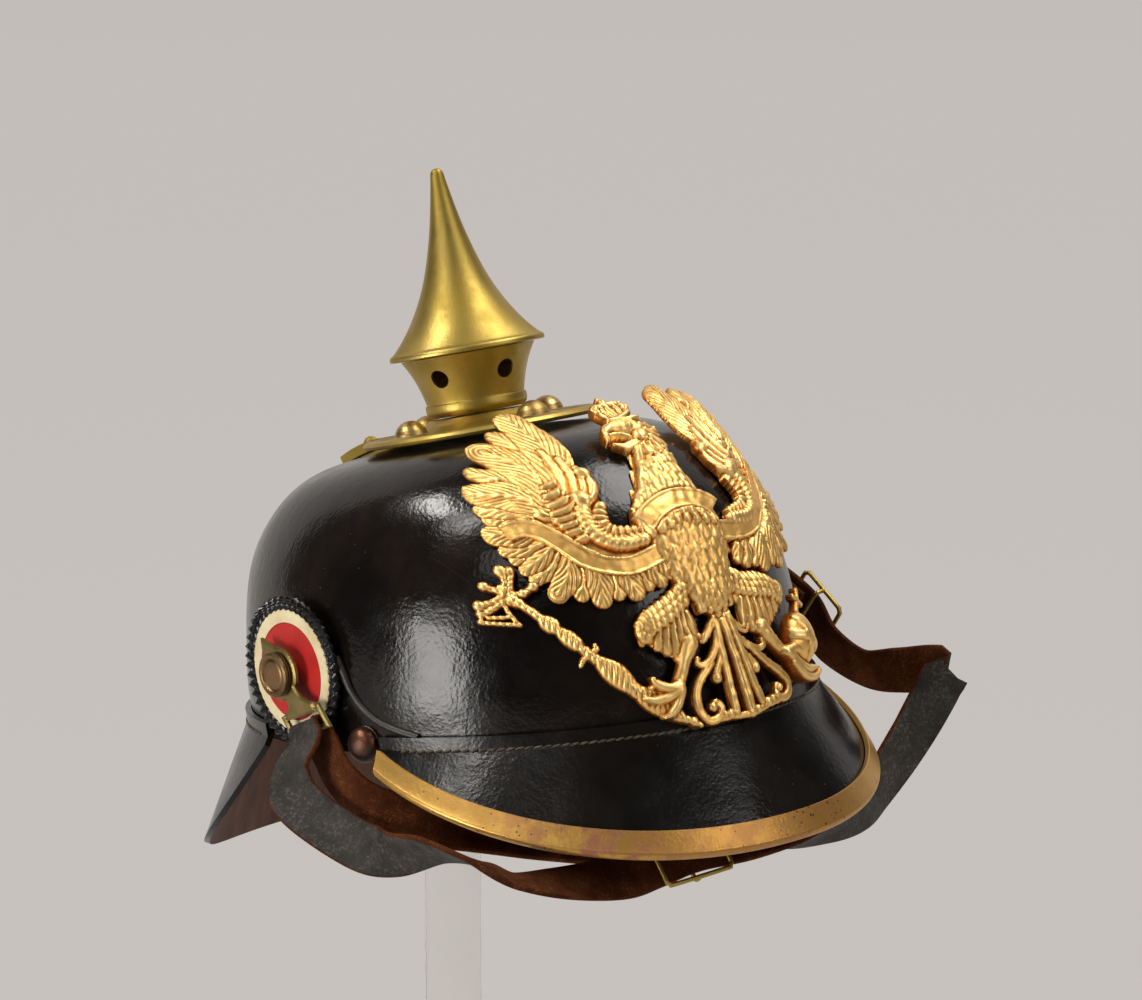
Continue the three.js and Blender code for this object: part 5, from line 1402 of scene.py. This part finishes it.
postRows = ((0, 96.7), (2.6, 96.8), (4.6, 96.6), (5.2, 96.2), (5.8, 96.85), (6.8, 97), (7.4, 96.6),
            (7.5, 96.2), (7.5, 95.5), (6.8, 95.2), (7.4, 94.9), (7.4, 94.5), (3.6, 94.4), (3.6, 89.95),
            (0, 89.95))
rivet = {"front": 21.6, "level": 7.7}
rivetRows = ((0, 5.7), (1.6, 5.5), (3.1, 4.95), (4.4, 4.1), (5.4, 2.9), (5.95, 1.5), (6.0, 0.5),
             (5.8, 0.05), (0, 0.05))
lug = {
    "near": 92.5,
    "thick": 1.5,
    "ring": 9.0,
    "hole": 4.7,
    "foot": -23.8,
    "half": 10.4,
    "bar": 2.0,
    "slot": 5.0,
    "turns": {"right": 30.8, "left": 88.0},
    "slant": {"right": -0.4, "left": 0.0},
}


def arcOf(radius, start, end):
    angles = np.radians(np.linspace(start, end, 19))
    return [(radius * math.cos(q), radius * math.sin(q)) for q in angles]


def lugPiece(name, side, turn, slant):
    sheet = newSheet(-13, 13, -26, 17, 0.22)
    slotTop = lug["foot"] + lug["bar"] + lug["slot"]
    flare = [(3.7 + 6.7 * f ** 3.6, -7.5 + (slotTop + 9.7) * f) for f in np.linspace(0, 1, 16)]
    outline = [(-lug["half"], lug["foot"]), (lug["half"], lug["foot"]), *flare[::-1]]
    outline += [*arcOf(lug["ring"], -56, 60), (0, lug["ring"] + 5.5), *arcOf(lug["ring"], 120, 236)]
    outline += [(-p, q) for p, q in flare]
    field(sheet, outline, 0, lug["thick"], 0.01)
    s = sheet["s"]
    t = sheet["t"]
    middle = slotTop - lug["slot"] / 2
    gate = np.maximum(np.abs(s) - lug["half"] + 2, np.abs(t - middle) - lug["slot"] / 2)
    edge = np.maximum(np.maximum(sheet["edge"], lug["hole"] - np.hypot(s, t)), -gate)
    sheet["edge"] = edge
    ears = np.exp(-((np.abs(s) - 8.2) ** 2 + (t - slotTop - 1.5) ** 2) / 0.8)
    sheet["rise"] = lug["thick"] * (1 - 0.3 * smoothstep(-0.9, 0, edge)) - 0.8 * ears
    c = math.cos(math.radians(turn))
    n = math.sin(math.radians(turn))

    def spot(p, q):
        q = q + slant * p * smoothstep(-8, -16, q)
        return np.stack((np.full_like(p, side * lug["near"]), sideSpot[0] + side * p * c + q * n,
                         sideSpot[1] - side * p * n + q * c), -1)
    return sheetPiece(name, sheet, spot, np.zeros_like(s))


for hand, side in (("right", -1), ("left", 1)):
    piece = gridPiece("cockade_disc_" + hand, cockade["teeth"] * 6, 45, placeCockade(side))
    turnOut(piece)
    dress(piece, *cockade["paints"][hand])
    uvs = piece.data.uv_layers[0].data
    for face in piece.data.polygons:
        k = sum(uvs[i].uv[1] for i in face.loop_indices) / len(face.loop_indices)
        k *= len(cockade["profile"]) - 1
        face.material_index = 2 if k < 2 else 1 if k < 5.1 else 0
    smoothShade(piece, 20)
    settle(piece, "cockade_%s_paint" % hand, "cockade_" + hand)
    piece = turnedPiece("post_button_" + hand, postRows, 48, 56, True, (0, *sideSpot), (side, 0, 0))
    finishPiece(piece, 40, "postBronze", "post_bronze", "side_post_" + hand)
    piece = lugPiece("lug_plate_" + hand, side, lug["turns"][hand], lug["slant"][hand])
    dress(piece, "lugBrass")
    settle(piece, "aged_brass", "strap_lug_" + hand)
    a = math.acos(rivet["front"] / wall["front"])
    out = (side * math.sin(a) / wall["half"], -math.cos(a) / wall["front"], 0)
    foot = (side * wall["half"] * math.sin(a), -rivet["front"], rivet["level"])
    piece = turnedPiece("rivet_ball_" + hand, rivetRows, 40, 48, False, foot, out)
    finishPiece(piece, 50, "rivetCopper", "rivet_copper", "trim_rivet_" + hand)
print("side fittings made")

# Domed studs of the base plate
studRing = 29.5
studFoot = 103.2
studRows = ((0, 5), (1.4, 4.85), (2.9, 4.25), (4.2, 3.2), (5.1, 1.9), (5.6, 0.6), (5.7, 0), (0, 0))
for place, angle in (("front", -90), ("left", 0), ("back", 90), ("right", 180)):
    a = math.radians(angle)
    foot = (studRing * math.cos(a), studRing * math.sin(a), studFoot)
    piece = turnedPiece("stud_" + place, studRows, 40, 42, True, foot)
    finishPiece(piece, 50, "studBrass", "aged_brass", "base_stud_" + place)

# CAD nodes that are kept as they are
for key, cadNames in (("agedBrass", ("rear_spine", "vent_slide")),
                      ("acrylic", ("stand_base", "stand_pad", "stand_post"))):
    for cadName in cadNames:
        dress(nodes[cadName], key)
print("small fittings made")

# Floor sweep, lights and camera
view = {
    "turn": math.radians(-39.7),
    "tilt": math.radians(75.6),
    "spot": (-1.0172, -1.2900, 0.6967),
    "lens": 155.7,
    "sensor": 36,
}
stage = {"back": 2.6, "curve": 1.2, "wide": 9.0, "front": 4.0, "high": 4.5, "below": 0.0005}


def placeStage(u, v):
    x = (u - 0.5) * stage["wide"]
    run = v * (stage["front"] + stage["back"] + stage["curve"] * math.pi / 2 + stage["high"])
    flat = stage["front"] + stage["back"]
    bend = np.clip((run - flat) / stage["curve"], 0, math.pi / 2)
    rise = np.maximum(run - flat - stage["curve"] * math.pi / 2, 0)
    y = np.minimum(run, flat) - stage["front"] + stage["curve"] * np.sin(bend)
    z = stage["curve"] * (1 - np.cos(bend)) + rise
    c = math.cos(view["turn"])
    s = math.sin(view["turn"])
    return np.stack((x * c - y * s, x * s + y * c, z - stage["below"]), -1)


floor = gridPiece("floor_sweep", 8, 120, placeStage)
smoothShade(floor, 60)
floorLook, tree, into, _ = material("floor_paper")
feed(tree, into, Base_Color=(0.03, 0.029, 0.028), Roughness=0.9, Emission_Color=(0.515, 0.485, 0.46),
     Emission_Strength=1.0)
floor.data.materials.append(floorLook)

world = bpy.data.worlds.new("studio")
world.use_nodes = True
bpy.context.scene.world = world
sky = world.node_tree
dim = sky.nodes["Background"]
feed(sky, dim.inputs, Color=(1.0, 0.97, 0.94), Strength=0.05)
paper = node(sky, "Background", {"Color": (0.56, 0.53, 0.5)})  # past the paper's edge, as seen directly
direct = node(sky, "LightPath").outputs["Is Camera Ray"]
both = node(sky, "MixShader", {0: direct, 1: dim.outputs[0], 2: paper.outputs[0]})
sky.links.new(both.outputs[0], sky.nodes["World Output"].inputs["Surface"])


# A soft panel at an angle round from the front, an elevation and a distance, facing the helmet
def panel(name, azimuth, elevation, distance, width, height, power):
    az = math.radians(azimuth)
    el = math.radians(elevation)
    centre = np.array((0, -0.045, 0.25))
    way = np.array((math.sin(az) * math.cos(el), -math.cos(az) * math.cos(el), math.sin(el)))
    bpy.ops.object.select_all(action="DESELECT")
    bpy.ops.object.light_add(type="AREA", location=centre + way * distance,
                             rotation=(math.pi / 2 - el, 0, az))
    light = bpy.context.object
    light.name = name
    light.data.shape = "RECTANGLE"
    light.data.size = width
    light.data.size_y = height
    light.data.energy = power
    light.data.color = (1, 0.97, 0.93)


panel("left_softbox", -93, 1, 1.3, 0.46, 0.48, 8.5)
panel("left_strip", -105, 51, 1.4, 0.18, 0.38, 3.3)
panel("rear_left_strip", -138, 52, 1.4, 0.5, 0.15, 5.5)
panel("overhead", 70, 66, 1.5, 1.0, 0.6, 15.5)
panel("front_right", 15, 27, 1.4, 0.8, 0.4, 3.5)
panel("front_left", -66, 37, 1.3, 0.5, 0.22, 0.9)

bpy.ops.object.select_all(action="DESELECT")
bpy.ops.object.camera_add(location=view["spot"], rotation=(view["tilt"], 0, view["turn"]))
camera = bpy.context.object
camera.data.lens = view["lens"]
camera.data.sensor_width = view["sensor"]
camera.data.sensor_fit = "HORIZONTAL"
bpy.context.scene.camera = camera
bpy.context.scene.view_settings.view_transform = "Standard"
print("stage made")

bpy.context.view_layer.update()
